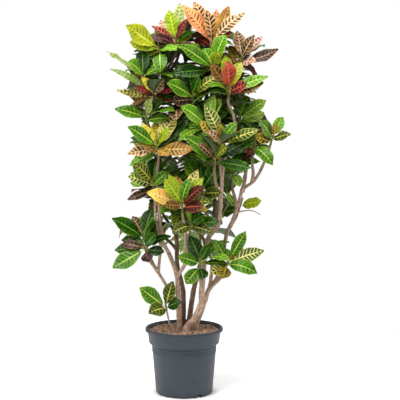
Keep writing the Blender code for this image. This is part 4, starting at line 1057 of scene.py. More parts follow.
def blade_half_width(share, width):
    """Half the width of a leaf, from the stalk at 0 to the tip at 1."""
    blade = max(0.0, (share - PETIOLE_SHARE) / (1 - PETIOLE_SHARE))
    bulge = math.sin(math.pi * blade ** 0.9) ** BLADE_FULLNESS if 0 < blade < 1 else 0.0
    return max(width * 0.5 * bulge, PETIOLE_HALF_WIDTH * (1 - blade))


class Leaf:
    """A leaf: rib from root to tip, the side its face looks to, width, arch and wave."""

    def __init__(self, root, tip, face, width, arch, wave, stations):
        self.root = root
        self.tip = tip
        chord = tip - root
        self.length = chord.length
        along = chord.normalized()
        self.face = (face - along * face.dot(along)).normalized()
        self.width = width
        self.wave = wave
        self.stations = stations
        self.top = (root + tip) * 0.5 + self.face * self.length * arch * 2

    def rib(self, share):
        """Point on the rib."""
        rest = 1 - share
        return self.root * rest * rest + self.top * 2 * rest * share + self.tip * share * share

    def axes(self, share):
        """Ways along the rib, across the blade and out of its face."""
        along = ((self.top - self.root) * (1 - share) + (self.tip - self.top) * share).normalized()
        across = along.cross(self.face).normalized()
        return along, across, across.cross(along)

    def ripple(self, number):
        """How far the left edge is raised at a station; the right edge is as far down."""
        return EDGE_WAVE * self.wave * (1 if number % 2 else -1) if number > 1 else 0.0

    def stretch(self, ring, on, above, below):
        """Faces above and below one stretch, split along the line that joins its raised edges."""
        (top_left, top_right), (left, rib, right) = above, below
        if (1 if ring % 2 else -1) * self.wave > 0:
            return [(top_left, top_right + on, top_right),
                    (top_left, top_left + on, top_right + on),
                    (left, rib, rib + on), (left, rib + on, left + on),
                    (rib, right, right + on), (rib, right + on, rib + on)]
        return [(top_right, top_left, top_left + on), (top_right, top_left + on, top_right + on),
                (left, rib, left + on), (rib, rib + on, left + on),
                (right, right + on, rib + on), (right, rib + on, rib)]

    def surface(self):
        """Corners and faces of the thin blade: flat above, keeled by the rib below, waved at
        its edges."""
        corners = []
        for number, share in enumerate(self.stations[:-1]):
            along, across, out = self.axes(share)
            half = blade_half_width(share, self.width)
            middle = self.rib(share)
            corners.append(middle - across * half + out * self.ripple(number))
            corners.append(middle + across * half - out * self.ripple(number))
            corners.append(middle - out * RIB_DEPTH)
        corners.append(self.tip)
        faces = [(0, 1, 2)]
        rings = len(self.stations) - 1
        for ring in range(rings - 1):
            left, right, rib = (ring * 3 + corner for corner in range(3))
            faces += self.stretch(ring, 3, (left, right), (left, rib, right))
        last = (rings - 1) * 3
        end = rings * 3
        for corner in range(3):
            faces.append((last + corner, end, last + (corner + 1) % 3))
        return corners, faces

    def room(self):
        """The blade with a little air round it, to test whether it fits."""
        corners = []
        for number, share in enumerate(self.stations):
            along, across, out = self.axes(share)
            half = blade_half_width(share, self.width) + CLEARANCE
            end = {0: -1, len(self.stations) - 1: 1}.get(number, 0)
            middle = self.rib(share) + along * CLEARANCE * end
            lift = out * self.ripple(number) if end < 1 else Vector()
            left = middle - across * half + lift
            right = middle + across * half - lift
            air = out * CLEARANCE
            corners += [left + air, right + air, right - air, middle - out * RIB_DEPTH - air,
                        left - air]
        faces = [(0, 1, 2, 3, 4)]
        for ring in range(len(self.stations) - 1):
            top_left, top_right, right, rib, left = (ring * 5 + corner for corner in range(5))
            faces += [(top_left, left, left + 5, top_left + 5)]
            faces += [(right, top_right, top_right + 5, right + 5)]
            faces += self.stretch(ring, 5, (top_left, top_right), (left, rib, right))
        faces.append(tuple(range(len(corners) - 5, len(corners))))
        return corners, faces


print("leaf stations", len(SEEN_STATIONS), len(GROWN_STATIONS))


# %% Leaves: the air between them
LOWEST_LEAF_POINT = 0.262


def box_of(corners):
    """Lowest and highest place of some corners along each axis."""
    return [[pick(corner[axis] for corner in corners) for axis in range(3)] for pick in (min, max)]


class Space:
    """What is already in the air round the plant, to keep leaves from crossing it."""

    def __init__(self):
        self.taken = []

    def add(self, owner, corners, faces, blade_faces=None):
        """Note a piece of wood or a leaf, the leaf's blade also by itself."""
        tree = BVHTree.FromPolygons(corners, faces)
        blade = BVHTree.FromPolygons(corners, blade_faces) if blade_faces else None
        self.taken.append((owner, *box_of(corners), tree, blade))

    def is_free(self, owner, corners, faces, blade_faces):
        """Whether a leaf crosses nothing; on its own shoot only its blade has to stay clear."""
        low, high = box_of(corners)
        if low[2] < LOWEST_LEAF_POINT:
            return False
        tree = None
        for other, other_low, other_high, other_tree, other_blade in self.taken:
            if any(low[axis] > other_high[axis] or high[axis] < other_low[axis]
                   for axis in range(3)):
                continue
            if tree is None:
                tree = BVHTree.FromPolygons(corners, faces)
                blade = BVHTree.FromPolygons(corners, blade_faces)
            if other == owner:
                if other_blade and blade.overlap(other_blade):
                    return False
            elif tree.overlap(other_tree):
                return False
        return True


print("no leaf hangs below", LOWEST_LEAF_POINT, "m")


# %% Leaves: how one joins its shoot
ROOT_DEPTHS = (0.006, 0.026)
ROOT_STEP = 0.0015
SHOOT_REST = 0.010


def crown_of(shoot):
    """The crown of a shoot, its axis and length, and the ways to its side and its back."""
    base, axis, length = shoot
    side = axis.cross(VIEWER).normalized()
    back = side.cross(axis).normalized()
    if back.y < 0:
        back = -back
    return base + axis * length, axis, length, side, back


def leaf_face(axis, along, lean):
    """The way a leaf's upper face looks: to the shoot's tip, turned to the light by lean."""
    outward = along - axis * along.dot(axis)
    tilt = math.acos(max(-1.0, min(1.0, along.dot(axis))))
    if outward.length < 1e-6:
        return lean
    return axis * math.sin(tilt) - outward.normalized() * math.cos(tilt) + lean


def root_depth(axis, along, length):
    """How far below the crown a leaf grows: young upright leaves high, spread ones lower."""
    tilt = math.acos(max(-1.0, min(1.0, along.dot(axis))))
    first, further = ROOT_DEPTHS
    return min(first + further * tilt / math.radians(110), length - SHOOT_REST)


def place(space, owner, leaves, leaf):
    """Keep a leaf if nothing is in its way."""
    corners, faces = leaf.room()
    blade_faces = [face for face in faces if min(face) >= 5]
    if not space.is_free(owner, corners, faces, blade_faces):
        return False
    corners, faces = leaf.surface()
    space.add(owner, corners, faces, [face for face in faces if min(face) >= 3])
    leaves.append(leaf)
    return True


print("leaves join a shoot up to", round(sum(ROOT_DEPTHS) * 1000), "mm below its crown")

# %% Leaves: placed one by one
SEEN_WIDTH_SCALE = 1.2
FACE_LEAN = 1.6
EDGE_LEAN = 0.4
SEEN_DEPTHS = (0, 0.012, -0.012, 0.025, -0.025, 0.040, -0.040, 0.060, -0.060, 0.080)
SEEN_ROLLS = (0, 0.35, -0.35, 0.8, -0.8)
SEEN_ARCHES = (0.05, 0.02, 0.12)
SEEN_SIZES = (1.0, 0.9, 0.8)


def try_order(change):
    """The smallest change first, told by what it does to how the leaf looks."""
    depth, roll, arch, size = change
    cost = abs(depth) * 18 + abs(roll) * 0.7 + abs(arch - SEEN_ARCHES[0]) * 3 + (1 - size) * 3
    return cost, change


SEEN_TRIES = sorted(product(SEEN_DEPTHS, SEEN_ROLLS, SEEN_ARCHES, SEEN_SIZES), key=try_order)


def place_seen_leaves(space, name, shoot, leaves):
    """Leaves of a rosette that the front shows, each to its own tip."""
    crown, axis, length, side, back = crown_of(shoot)
    middle = Vector(metres(ROSETTES[name][3]))
    for number, (dx, dy, dz, width) in enumerate(map(metres, ROSETTES[name][4])):
        wave = 1 if number % 2 else -1
        for depth, roll, arch, size in SEEN_TRIES:
            tip = on_sight_line(middle + Vector((dx, dy + depth, dz)) * size)
            along = (tip - crown).normalized()
            root = crown - axis * (root_depth(axis, along, length) + ROOT_STEP * (number % 3))
            along = (tip - root).normalized()
            face = leaf_face(axis, along, VIEWER * FACE_LEAN)
            if number in EDGE_ON.get(name, ()):
                face = VIEWER.cross(along) * math.copysign(1, along.x) + VIEWER * EDGE_LEAN
            face = Matrix.Rotation(roll, 3, along) @ face
            bow = arch + BOWS.get((name, number), 0.0)
            wide = width * size * SEEN_WIDTH_SCALE
            leaf = Leaf(root, tip, face, wide, bow, wave, SEEN_STATIONS)
            if place(space, name, leaves, leaf):
                break
        else:
            print("no room for leaf", number, "of", name)


print("ways to try for a leaf placed by hand", len(SEEN_TRIES))

# %% Leaves: grown by the rule
LEAF_WIDTH = 0.064
LEAF_LENGTH = (0.112, 0.165)
REAR_LEAVES = 7
FILL_LEAVES = 3
FEWER_LEAVES = {"bottom_left": 0, "far_right": 1}
GROWN_SIZES = (1.0, 0.88, 0.76)
GROWN_TILTS = (0, -0.2, 0.2, -0.4)
GROWN_TURNS = (0, 0.2, -0.2, 0.4, -0.4, 0.6, -0.6)
OLD_TILT = 112
TILT_SPAN = 78
FRONT_TURN = 0.9
EDGE_TEST_SHARE = 0.6
EDGE_TEST_HALF = 0.4
RAY_SHARES = (0.3, 0.5, 0.7, 0.85)
RAY_HALF = 0.38
# The crown's edge as it looks from the front, in millimetres, clockwise from its top
CROWN_EDGE = (
    (60, 1462), (115, 1436), (189, 1443), (230, 1421), (211, 1370), (289, 1334), (319, 1282),
    (245, 1238), (290, 1187), (268, 1128), (305, 1102), (291, 1046), (343, 1035), (377, 979),
    (329, 920), (306, 879), (262, 871), (224, 837), (186, 800), (134, 785), (134, 732), (262, 721),
    (202, 698), (165, 702), (152, 640), (150, 575), (222, 596), (226, 543), (293, 536), (271, 460),
    (143, 448), (90, 467), (45, 410), (0, 460), (-23, 536), (-75, 558), (-91, 505), (-143, 513),
    (-249, 479), (-226, 543), (-248, 574), (-267, 649), (-180, 653), (-131, 702), (-127, 744),
    (-198, 740), (-206, 815), (-201, 864), (-164, 890), (-205, 912), (-201, 987), (-148, 1020),
    (-241, 1072), (-170, 1105), (-233, 1142), (-185, 1165), (-222, 1209), (-207, 1260),
    (-177, 1297), (-202, 1370), (-162, 1378), (-117, 1348), (-114, 1385), (-73, 1421), (-6, 1462))
CROWN_LINE = [metres(corner) for corner in CROWN_EDGE]


def place_grown_leaves(space, name, shoot, leaves):
    """Leaves of a rosette that follow the spiral, old and spread ones lowest."""
    draw = random.Random(name)
    rear = not ROSETTES[name][4]
    count = REAR_LEAVES if rear else FEWER_LEAVES.get(name, FILL_LEAVES)
    start = draw.uniform(0, 2 * math.pi) if rear else math.radians(draw.uniform(-25, 25))
    placed = 0
    for number in range(count * 2):
        if placed == count:
            break
        share = number / (count * 2 - 1)
        turn = start + GOLDEN_ANGLE * number if rear else start + (number - 1) * FRONT_TURN
        tilt = math.radians(OLD_TILT - TILT_SPAN * share + draw.uniform(-8, 8))
        reach = LEAF_LENGTH[1] + (LEAF_LENGTH[0] - LEAF_LENGTH[1]) * share
        width = LEAF_WIDTH * draw.uniform(0.85, 1.15)
        arch = draw.uniform(0.09, 0.15) + 0.05 * (1 - share)
        habit = (turn, tilt, reach, width, arch, 1 if number % 2 else -1)
        placed += grow_leaf(space, name, leaves, crown_of(shoot), habit)


def is_inside_edge(point):
    """Whether a point looks inside the crown's edge from the front."""
    seen = EYE + (point - EYE) * (EYE.y / (EYE.y - point.y))
    inside = False
    for (x, z), (next_x, next_z) in zip(CROWN_LINE, CROWN_LINE[1:] + CROWN_LINE[:1]):
        if (z > seen.z) != (next_z > seen.z):
            crossing = x + (next_x - x) * (seen.z - z) / (next_z - z)
            if crossing > seen.x:
                inside = not inside
    return inside


def stays_in_crown(leaf):
    """Whether the tip and the widest place of a leaf look inside the crown's edge."""
    across = leaf.axes(EDGE_TEST_SHARE)[1] * leaf.width * EDGE_TEST_HALF
    middle = leaf.rib(EDGE_TEST_SHARE)
    return all(is_inside_edge(point) for point in (leaf.tip, middle - across, middle + across))


def hides(leaf, shown):
    """Whether a leaf stands before one of the pieces that the front shows."""
    points = [leaf.tip]
    for share in RAY_SHARES:
        across = leaf.axes(share)[1] * leaf.width * RAY_HALF
        points += [leaf.rib(share) - across, leaf.rib(share) + across]
    return any(shown.ray_cast(point, (point - EYE).normalized())[0] for point in points)


def grow_leaf(space, name, leaves, shoot, habit, lean=Vector(), shown=None):
    """Try one leaf of the spiral, turned, tilted and shortened until it fits."""
    crown, axis, length, side, back = shoot
    turn, tilt, reach, width, arch, wave = habit
    for size, tilted, turned in product(GROWN_SIZES, GROWN_TILTS, GROWN_TURNS):
        around = turn + turned
        outward = back * math.cos(around) + side * math.sin(around)
        spread = tilt + tilted
        along = axis * math.cos(spread) + outward * math.sin(spread)
        root = crown - axis * root_depth(axis, along, length)
        face = leaf_face(axis, along, outward * 0.5 + UP * 0.3 + lean)
        tip = root + along * reach * size
        leaf = Leaf(root, tip, face, width * size, arch, wave, GROWN_STATIONS)
        if shown and hides(leaf, shown):
            continue
        if stays_in_crown(leaf) and place(space, name, leaves, leaf):
            return True
    return False


print("the crown's edge has", len(CROWN_LINE), "corners")

# %% Leaves: all of them
def lay_out_leaves(routes, branches, shoots):
    """Every leaf of every rosette, clear of the wood and of each other."""
    space = Space()
    for limb, route in routes.items():
        space.add(LIMBS[limb][0], *tube_surface(route, limb_radii(limb, route), 8, CLEARANCE))
    for name, points in branches.items():
        stem = LIMBS[ROSETTES[name][1]][0]
        space.add(stem, *tube_surface(points, branch_radii(name, points), 6, CLEARANCE))
    for name, (base, axis, length) in shoots.items():
        points = [base, base + axis * length]
        space.add(name, *tube_surface(points, [SHOOT_RADIUS, SHOOT_TIP_RADIUS], 6, CLEARANCE))
    leaves = {name: [] for name in ROSETTES}
    for name in ROSETTES:
        place_seen_leaves(space, name, shoots[name], leaves[name])
    for name in ROSETTES:
        place_grown_leaves(space, name, shoots[name], leaves[name])
    return space, leaves


space, leaves = lay_out_leaves(routes, branches, shoots)
print("leaves of the plain solids", sum(len(row) for row in leaves.values()))

# %% [markdown]
# ## More leaves between
# A real croton's crown is fuller than the plain solids can be. So each rosette gets more leaves
# here, a little smaller, in the gaps that are left, and a small upright one or two by the bud at
# its tip. They could be planes with a leaf drawn on them, but those would look flat from the side,
# so they are whole leaves by the same rule, and are kept only where they cross nothing. None of
# them may hide a leaf that is listed one by one, or the pale limb on the right: rays tell.

# %% Leaves: more of them
EXTRA_LEAVES = 12
LOW_EXTRA_LEAVES = 4
LOW_CROWN = 0.72
YOUNG_LEAVES = 2
TRIES_PER_LEAF = 4
BACK_TURN = math.radians(105)
FRONT_LEAN = 0.8


def shown_pieces():
    """The leaves that are listed one by one and the front limb, as one tree for rays."""
    corners, faces = tube_surface(routes["front"], limb_radii("front", routes["front"]), 8)
    for name, row in ROSETTES.items():
        for leaf in leaves[name][:len(row[4])]:
            points, sides = leaf.surface()
            faces += [[corner + len(corners) for corner in side] for side in sides]
            corners += points
    return BVHTree.FromPolygons(corners, faces)


def place_extra_leaves(space, name, shoot, shown):
    """Leaves between the others, and small upright ones at the tip of the shoot."""
    shoot = crown_of(shoot)
    draw = random.Random("more " + name)
    wanted = EXTRA_LEAVES if shoot[0].z > LOW_CROWN else LOW_EXTRA_LEAVES
    wanted = min(wanted, FEWER_LEAVES.get(name, wanted))
    widest = BACK_TURN if ROSETTES[name][4] else math.pi
    lean = VIEWER * (FRONT_LEAN if ROSETTES[name][4] else 0.0)
    kept = []
    for number in range(wanted * TRIES_PER_LEAF):
        if len(kept) == wanted:
            break
        habit = (draw.uniform(-widest, widest), math.radians(draw.uniform(40, 110)),
                 draw.uniform(0.085, 0.130), draw.uniform(0.040, 0.056),
                 draw.uniform(0.08, 0.15), 1 if number % 2 else -1)
        grow_leaf(space, name, kept, shoot, habit, lean, shown)
    for number in range(YOUNG_LEAVES):
        habit = (draw.uniform(-widest, widest), math.radians(draw.uniform(8, 24)),
                 draw.uniform(0.050, 0.075), draw.uniform(0.020, 0.028), 0.04, 1)
        grow_leaf(space, name, kept, shoot, habit, lean, shown)
    return kept


shown = shown_pieces()
extra = {name: place_extra_leaves(space, name, shoots[name], shown) for name in ROSETTES}
print("more leaves", sum(len(row) for row in extra.values()))

# %% [markdown]
# ## The fine leaf
# A croton leaf is leathery, about half a millimetre thick, and oblong with a short point. Its
# side veins leave the midrib every centimetre and run forward at a slant; between them the blade
# is quilted up, and its margin waves. A plain grid with rows straight across would cut through
# the veins, so each row of points here follows a side vein, from the midrib to where it meets the
# margin: one row in the groove of each vein and three on the quilt between. The veins' shape and
# the veins' colour then agree by construction, because both are told by the row. The veins stand
# 14.5 mm apart here, a little further than the real ones, so that they show.

# %% Fine leaf: outline and rows
VEIN_SPACING = 0.0145
VEIN_SLANT = 0.62
SLANT_START = 0.10
ROWS_PER_VEIN = 4
STALK_ROWS = (0.0, 0.45, 0.85)
LAST_ROW = 0.997
REACH_HALVINGS = 22
WIDEST_PLACE = (1.00, 1.16)
FINE_FULLNESS = (0.52, 0.72)
TIP_POINT = 0.45
TIP_START = 0.80
TIP_LENGTH = 0.20


def half_widths(share, width, form):
    """Half the width of a blade at shares of its length, for its widest place and its fullness."""
    blade = np.clip((share - PETIOLE_SHARE) / (1 - PETIOLE_SHARE), 0, 1)
    bulge = np.clip(np.sin(np.pi * blade ** form[0]), 0, 1) ** form[1]
    bulge = bulge * (1 - TIP_POINT * np.clip((blade - TIP_START) / TIP_LENGTH, 0, 1))
    return np.maximum(width * 0.5 * bulge, PETIOLE_HALF_WIDTH * (1 - 0.85 * blade))


def vein_rows(leaf, form):
    """Where each row leaves the midrib, its slant, its reach to the margin, and its vein number."""
    blade_length = leaf.length * (1 - PETIOLE_SHARE)
    veins = max(5, round(blade_length / VEIN_SPACING))
    steps = np.arange(veins * ROWS_PER_VEIN + 1) / (veins * ROWS_PER_VEIN)
    stalk = np.array(STALK_ROWS) * PETIOLE_SHARE
    share = np.concatenate([stalk, PETIOLE_SHARE + steps * (LAST_ROW - PETIOLE_SHARE)])
    number = np.concatenate([np.zeros(len(stalk)), steps * veins])
    slant = VEIN_SLANT * np.clip((share - PETIOLE_SHARE) / SLANT_START, 0, 1) / leaf.length
    low = np.zeros_like(share)
    high = np.full_like(share, leaf.width)
    for step in range(REACH_HALVINGS):
        middle = (low + high) / 2
        inside = middle < half_widths(share + slant * middle, leaf.width, form)
        low = np.where(inside, middle, low)
        high = np.where(inside, high, middle)
    return share, slant, low, number


print("veins", VEIN_SPACING * 1000, "mm apart with", ROWS_PER_VEIN, "rows for each")

# %% Fine leaf: surface
TOP_ACROSS = (-1, -0.72, -0.38, -0.07, 0, 0.07, 0.38, 0.72, 1)
UNDER_ACROSS = (0.45, 0.07, 0, -0.07, -0.45)
BLADE_THICKNESS = 0.0005
BLADE_FOLD = (0.02, 0.16)
QUILT_RISE = 0.0009
FRILL = 0.0012
FRILL_WAVES = (20, 30)
TIP_DROOP = (-0.002, 0.007)
MIDRIB_RISE = 0.0003
PETIOLE_RISE = 0.0013
WIDE_BLADE = 0.045


def on_leaf(leaf, share, sideways, lift):
    """Points of a leaf, by share of its length, distance from the rib and height over it."""
    root, top, tip, face = (np.array(v) for v in (leaf.root, leaf.top, leaf.tip, leaf.face))
    rest = 1 - share[..., None]
    share = share[..., None]
    rib = root * rest * rest + top * 2 * rest * share + tip * share * share
    along = (top - root) * rest + (tip - top) * share
    along /= np.linalg.norm(along, axis=-1, keepdims=True)
    across = np.cross(along, face)
    across /= np.linalg.norm(across, axis=-1, keepdims=True)
    out = np.cross(across, along)
    return rib + across * sideways[..., None] + out * lift[..., None]


def leaf_points(leaf, draw):
    """Rows of points round a fine leaf, with each one's place in the pattern of veins: folded
    along its rib, waved, frilled and quilted, and drooping a little at its tip."""
    form = (draw.uniform(*WIDEST_PLACE), draw.uniform(*FINE_FULLNESS))
    share, slant, reach, number = vein_rows(leaf, form)
    across = np.array(TOP_ACROSS + UNDER_ACROSS)
    under = np.array([0.0] * len(TOP_ACROSS) + [1.0] * len(UNDER_ACROSS))
    rows, columns = np.meshgrid(np.arange(len(share)), np.arange(len(across)), indexing="ij")
    t = across[columns]
    far = np.abs(t)
    sideways = t * reach[rows]
    at = share[rows] + slant[rows] * np.abs(sideways)
    blade = np.clip((share[rows] - PETIOLE_SHARE * 0.9) / 0.06, 0, 1)
    fold = draw.uniform(*BLADE_FOLD)
    waves = at * draw.uniform(*FRILL_WAVES) + draw.uniform(0, 6.3)
    frill = np.sin(waves + np.sign(t) * draw.uniform(0.5, 2.5))
    ripple = np.interp(at, leaf.stations, [leaf.ripple(n) for n in range(len(leaf.stations))])
    quilt = np.sin(np.pi * (number[rows] % 1.0)) ** 0.7
    rise = min(1.0, leaf.width / WIDE_BLADE)
    lift = fold * np.abs(sideways) - ripple * t * far ** 0.5 * 1.2 * rise
    lift += frill * far ** 3 * FRILL * rise * np.clip((1 - at) / 0.2, 0, 1)
    lift += quilt * QUILT_RISE * rise * np.sin(np.pi * np.clip(far, 0, 0.93)) ** 0.8
    lift -= draw.uniform(*TIP_DROOP) * np.clip((at - 0.7) / 0.3, 0, 1) ** 2
    lift *= blade
    rib = np.where(far < 0.01, 1.0, np.where(far < 0.1, 0.35, 0.0))
    round_stalk = np.sqrt(np.clip(1 - t * t, 0, 1)) * PETIOLE_RISE * (1 - blade)
    top_rise = rib * MIDRIB_RISE * blade + round_stalk
    below = (BLADE_THICKNESS + rib * RIB_DEPTH * (1 - 0.75 * at)) * blade + round_stalk
    lift += np.where(under[columns] > 0, -below, top_rise)
    points = on_leaf(leaf, np.clip(at, 0, 1), sideways, lift)
    place = np.stack([t, number[rows]], -1)
    habit = np.stack([at, under[columns]], -1)
    return points.reshape(-1, 3), place.reshape(-1, 2), habit.reshape(-1, 2), len(share)


print("points round a leaf", len(TOP_ACROSS + UNDER_ACROSS))

# %% [markdown]
# ## The tones of the leaves
# Every leaf of a croton is painted on its own, and one shoot holds several tones. Four colours
# tell a tone: the field, the blush that washes over it toward one end or the margin, the dark bars
# that stand between the side veins, and the veins. Two more numbers say how much of the blade the
# bars cover and how wide the veins' colour spreads. One ramp from green to red would be shorter,
# but it would give no leaf pale veins in a dark field. The names below are a grower's words, but
# two of them also paint light. Sheen is partly a leaf's own lighter green and partly a painted
# sheen of its gloss in the light. Deep is an old leaf's dark green, made darker to paint the shade
# on the low and inner leaves. The seen leaves get theirs one by one, and the others draw from
# their rosette's group.

# %% Tones
TONES = {
    "green": ("#2c6c0a", "#5a8c18", "#1a520a", "#b8d04c", 0.42, 0.13),
    "bright": ("#4c8e10", "#7ca224", "#2f7210", "#c4dc58", 0.38, 0.14),
    # deep: an old leaf's dark green, made darker still to paint the shade on the low and inner
    # leaves
    "deep": ("#144404", "#2c6008", "#0a2a03", "#78a62c", 0.42, 0.11),
    # sheen: partly a leaf's own lighter green, partly a painted sheen of its gloss in the light
    "sheen": ("#6c9c24", "#9cb444", "#3c7414", "#ccd864", 0.30, 0.15),
    "dark_veined": ("#183806", "#2c5010", "#0c2004", "#ccc454", 0.46, 0.17),
    "plain_gold": ("#c48c34", "#b0802c", "#86671a", "#dcb060", 0.14, 0.16),
    "dark": ("#123008", "#28500e", "#081a05", "#5c8828", 0.48, 0.11),
    "lime": ("#88a60c", "#a8b01a", "#66860a", "#c8d044", 0.36, 0.16),
    "yellow_lime": ("#98a413", "#b4ac28", "#70880c", "#ccc84c", 0.34, 0.19),
    "veined": ("#2c5c10", "#5c821c", "#143408", "#e8d658", 0.50, 0.25),
    "cream_veined": ("#346418", "#6a8a30", "#143c0a", "#f2e88c", 0.48, 0.36),
    "gold": ("#bc8a2c", "#a86c34", "#3a3c10", "#e0bc68", 0.40, 0.20),
    "gold_spotted": ("#d4c058", "#b8a844", "#2c4410", "#ecdc8c", 0.58, 0.26),
    "gold_green": ("#968a20", "#c89c34", "#28340a", "#e0c452", 0.52, 0.20),
    "yellow": ("#dcc02c", "#e8ca50", "#4a7814", "#eede66", 0.26, 0.24),
    "peach": ("#e8be4c", "#e8a85c", "#4a6a18", "#f6d080", 0.24, 0.24),
    "amber": ("#d89c3c", "#b87a34", "#6a3c18", "#f6c878", 0.18, 0.18),
    "cream": ("#dcb074", "#d8986c", "#2c2418", "#e8c48c", 0.62, 0.26),
    "orange": ("#f0a05c", "#de7a62", "#40140c", "#f4b880", 0.40, 0.18),
    "flame": ("#eeb26c", "#e28c5c", "#28140c", "#f6cc94", 0.62, 0.26),
    "salmon": ("#d09868", "#c47c54", "#70402c", "#f2c4a4", 0.22, 0.20),
    "coral": ("#c84630", "#cc5c38", "#8a2c20", "#e08a68", 0.34, 0.18),
    "red": ("#9c3c28", "#ac4c34", "#3a1210", "#d08468", 0.46, 0.20),
    "crimson": ("#6a2420", "#8e3c2c", "#240c0c", "#c05444", 0.58, 0.18),
    "pink": ("#cc9a80", "#b87a5e", "#5a3e2e", "#e8c4a8", 0.42, 0.22),
    "tan": ("#bc9468", "#a0664e", "#36221a", "#e4c49c", 0.56, 0.22),
    "spear": ("#78943c", "#909c4c", "#48701f", "#a8b464", 0.34, 0.16),
    "pale": ("#94a850", "#aeac60", "#4c7424", "#c0c87c", 0.40, 0.18),
    "bronze": ("#5e4630", "#946038", "#221810", "#e0bc84", 0.60, 0.18),
    "dusk": ("#33261a", "#583624", "#161010", "#c09472", 0.60, 0.15),
    "purple": ("#2e1e1a", "#502c20", "#160e12", "#8e4c44", 0.60, 0.14),
    "rust": ("#7c5428", "#66682a", "#3c200c", "#bc8850", 0.46, 0.18),
    "red_veined": ("#1e180e", "#3c2416", "#140f0c", "#c05440", 0.50, 0.20),
}
# The leaves that get sheen wear part of their gloss as painted sheen in the base colour
SEEN_TONES = {
    "top_orange": "orange flame flame salmon amber cream crimson",
    "top_green": "lime pale red crimson pink purple lime",
    "left_lime": "yellow_lime lime green dark",
    "right_brown": "tan bronze pink dusk gold_green pink",
    "right_red": "coral lime yellow_lime bright crimson rust rust",
    "upper_centre": "bright lime green bright dark",
    "left_upper": "bright spear dark",
    "left_red": "spear crimson yellow tan gold_spotted",
    "centre_upper": "green dark deep dusk",
    "left_mid": "green pale sheen green",
    "centre_mid": "bright sheen sheen dark",
    "centre_veined": "cream_veined gold_green tan veined gold_green",
    "right_big": "sheen sheen green",
    "far_right": "green dark_veined bright gold_green gold_green",
    "right_low": "green red_veined",
    "left_centre": "green yellow gold_spotted lime dark gold cream gold rust bright",
    "right_centre": "green bronze veined dark deep",
    "left_low_mid": "veined cream_veined deep green dusk",
    "centre_yellow": "peach lime lime gold_spotted green lime red_veined rust red_veined",
    "centre_dark": "dark deep dark_veined bright",
    "right_inner": "sheen green",
    "right_small": "lime sheen green",
    "low_left_up": "deep deep deep bronze",
    "low_left": "green deep deep dark purple dusk",
    "centre_low": "dark_veined deep deep dark_veined",
    "centre_low_dark": "dark green deep green dark",
    "low_right": "green cream_veined green gold_green gold_spotted green",
    "bottom_left": "green dark_veined dark_veined dark",
}
GROUP_TONES = {
    "green": "green green dark dark green bright veined",
    "lime": "lime green yellow_lime dark bright",
    "gold": "gold veined green gold_green dark yellow",
    "orange": "orange flame crimson dark bronze",
    "red": "red crimson green dark rust",
    "bronze": "bronze dusk purple dark rust",
}
# Mostly dark tones for the leaves that fill in behind and between: partly their own dark green,
# partly painted shade of the crown's inside
FILL_TONES = "dark deep green dark dusk green bright"


def tones_of(name):
    """The tone of each leaf of a rosette, in the order in which they were placed."""
    draw = random.Random("tones " + name)
    group = GROUP_TONES[ROSETTES[name][0]].split()
    seen = SEEN_TONES.get(name, "").split()
    fill = FILL_TONES.split() if seen else group
    grown = [draw.choice(fill) for number in range(len(leaves[name]) - len(seen))]
    more = [draw.choice(group + fill) for number in range(len(extra[name]))]
    return seen + grown + more


seen_tones = " ".join(SEEN_TONES.values()).split()
print("tones", len(TONES), "leaves with a tone of their own", len(seen_tones))

# %% [markdown]
# ## The leaf's skin
# A leaf's skin is a waxy cuticle over green tissue. Wax has an IOR near 1.45, and the smooth skin
# of a croton gives soft, clear highlights at a roughness of about 0.3. Creases too fine to model
# scatter part of that sheen, so the specular level is low. The underside is duller and paler.
#
# A picture of a leaf could be laid on each blade, but then they would all be alike. So one
# material paints every leaf: the row and column that each point kept from the grid say where the
# veins are, and the leaf's own colours come with the mesh. The dark bars are wedges between two
# side veins, broad beside the midrib, that end before the tip. Each has a strength of its own,
# drawn for its place, and noise at the scale of a centimetre breaks its edges. A net of fine
# veins, 3 mm apart, roughens the light, and the margin is a thin line in the veins' colour.

# %% Leaf material: veins
STALK_END = (PETIOLE_SHARE - 0.01, PETIOLE_SHARE + 0.03)


def vein_lines(tree, across, near, spread, share):
    """Where the veins' colour lies: side veins that thin outward, midrib, stalk and margin."""
    thin = add(tree, "MapRange", {0: across, 3: 1.0, 4: 0.35})
    width = add(tree, "Math", {0: spread, 1: thin}, operation="MULTIPLY")
    start = add(tree, "Math", {0: 1.0, 1: width}, operation="SUBTRACT")
    full = add(tree, "Math", {0: width, 1: -0.45, 2: 1.0}, operation="MULTIPLY_ADD")
    side_vein = add(tree, "MapRange", {0: near, 1: start, 2: full},
                    interpolation_type="SMOOTHSTEP")
    fade = add(tree, "MapRange", {0: across, 1: 0.70, 2: 0.95, 3: 1.0, 4: 0.25})
    strength = add(tree, "MapRange", {0: spread, 1: 0.08, 2: 0.30, 3: 0.35, 4: 1.0})
    faint = add(tree, "Math", {0: fade, 1: strength}, operation="MULTIPLY")
    side_line = add(tree, "Math", {0: side_vein, 1: faint}, operation="MULTIPLY")
    midrib = add(tree, "MapRange", {0: across, 1: 0.045, 2: 0.10, 3: 1.0, 4: 0.0},
                 interpolation_type="SMOOTHSTEP")
    stalk = add(tree, "MapRange", {0: share, 1: STALK_END[0], 2: STALK_END[1], 3: 0.85, 4: 0.0})
    rib = add(tree, "Math", {0: midrib, 1: stalk}, operation="MAXIMUM")
    margin = add(tree, "MapRange", {0: across, 1: 0.88, 2: 0.96, 3: 0.0, 4: 0.55})
    edged = add(tree, "Math", {0: side_line, 1: margin}, operation="MAXIMUM")
    return add(tree, "Math", {0: edged, 1: rib}, operation="MAXIMUM")


print("the stalk ends at", round(STALK_END[1], 2), "of a leaf's length")


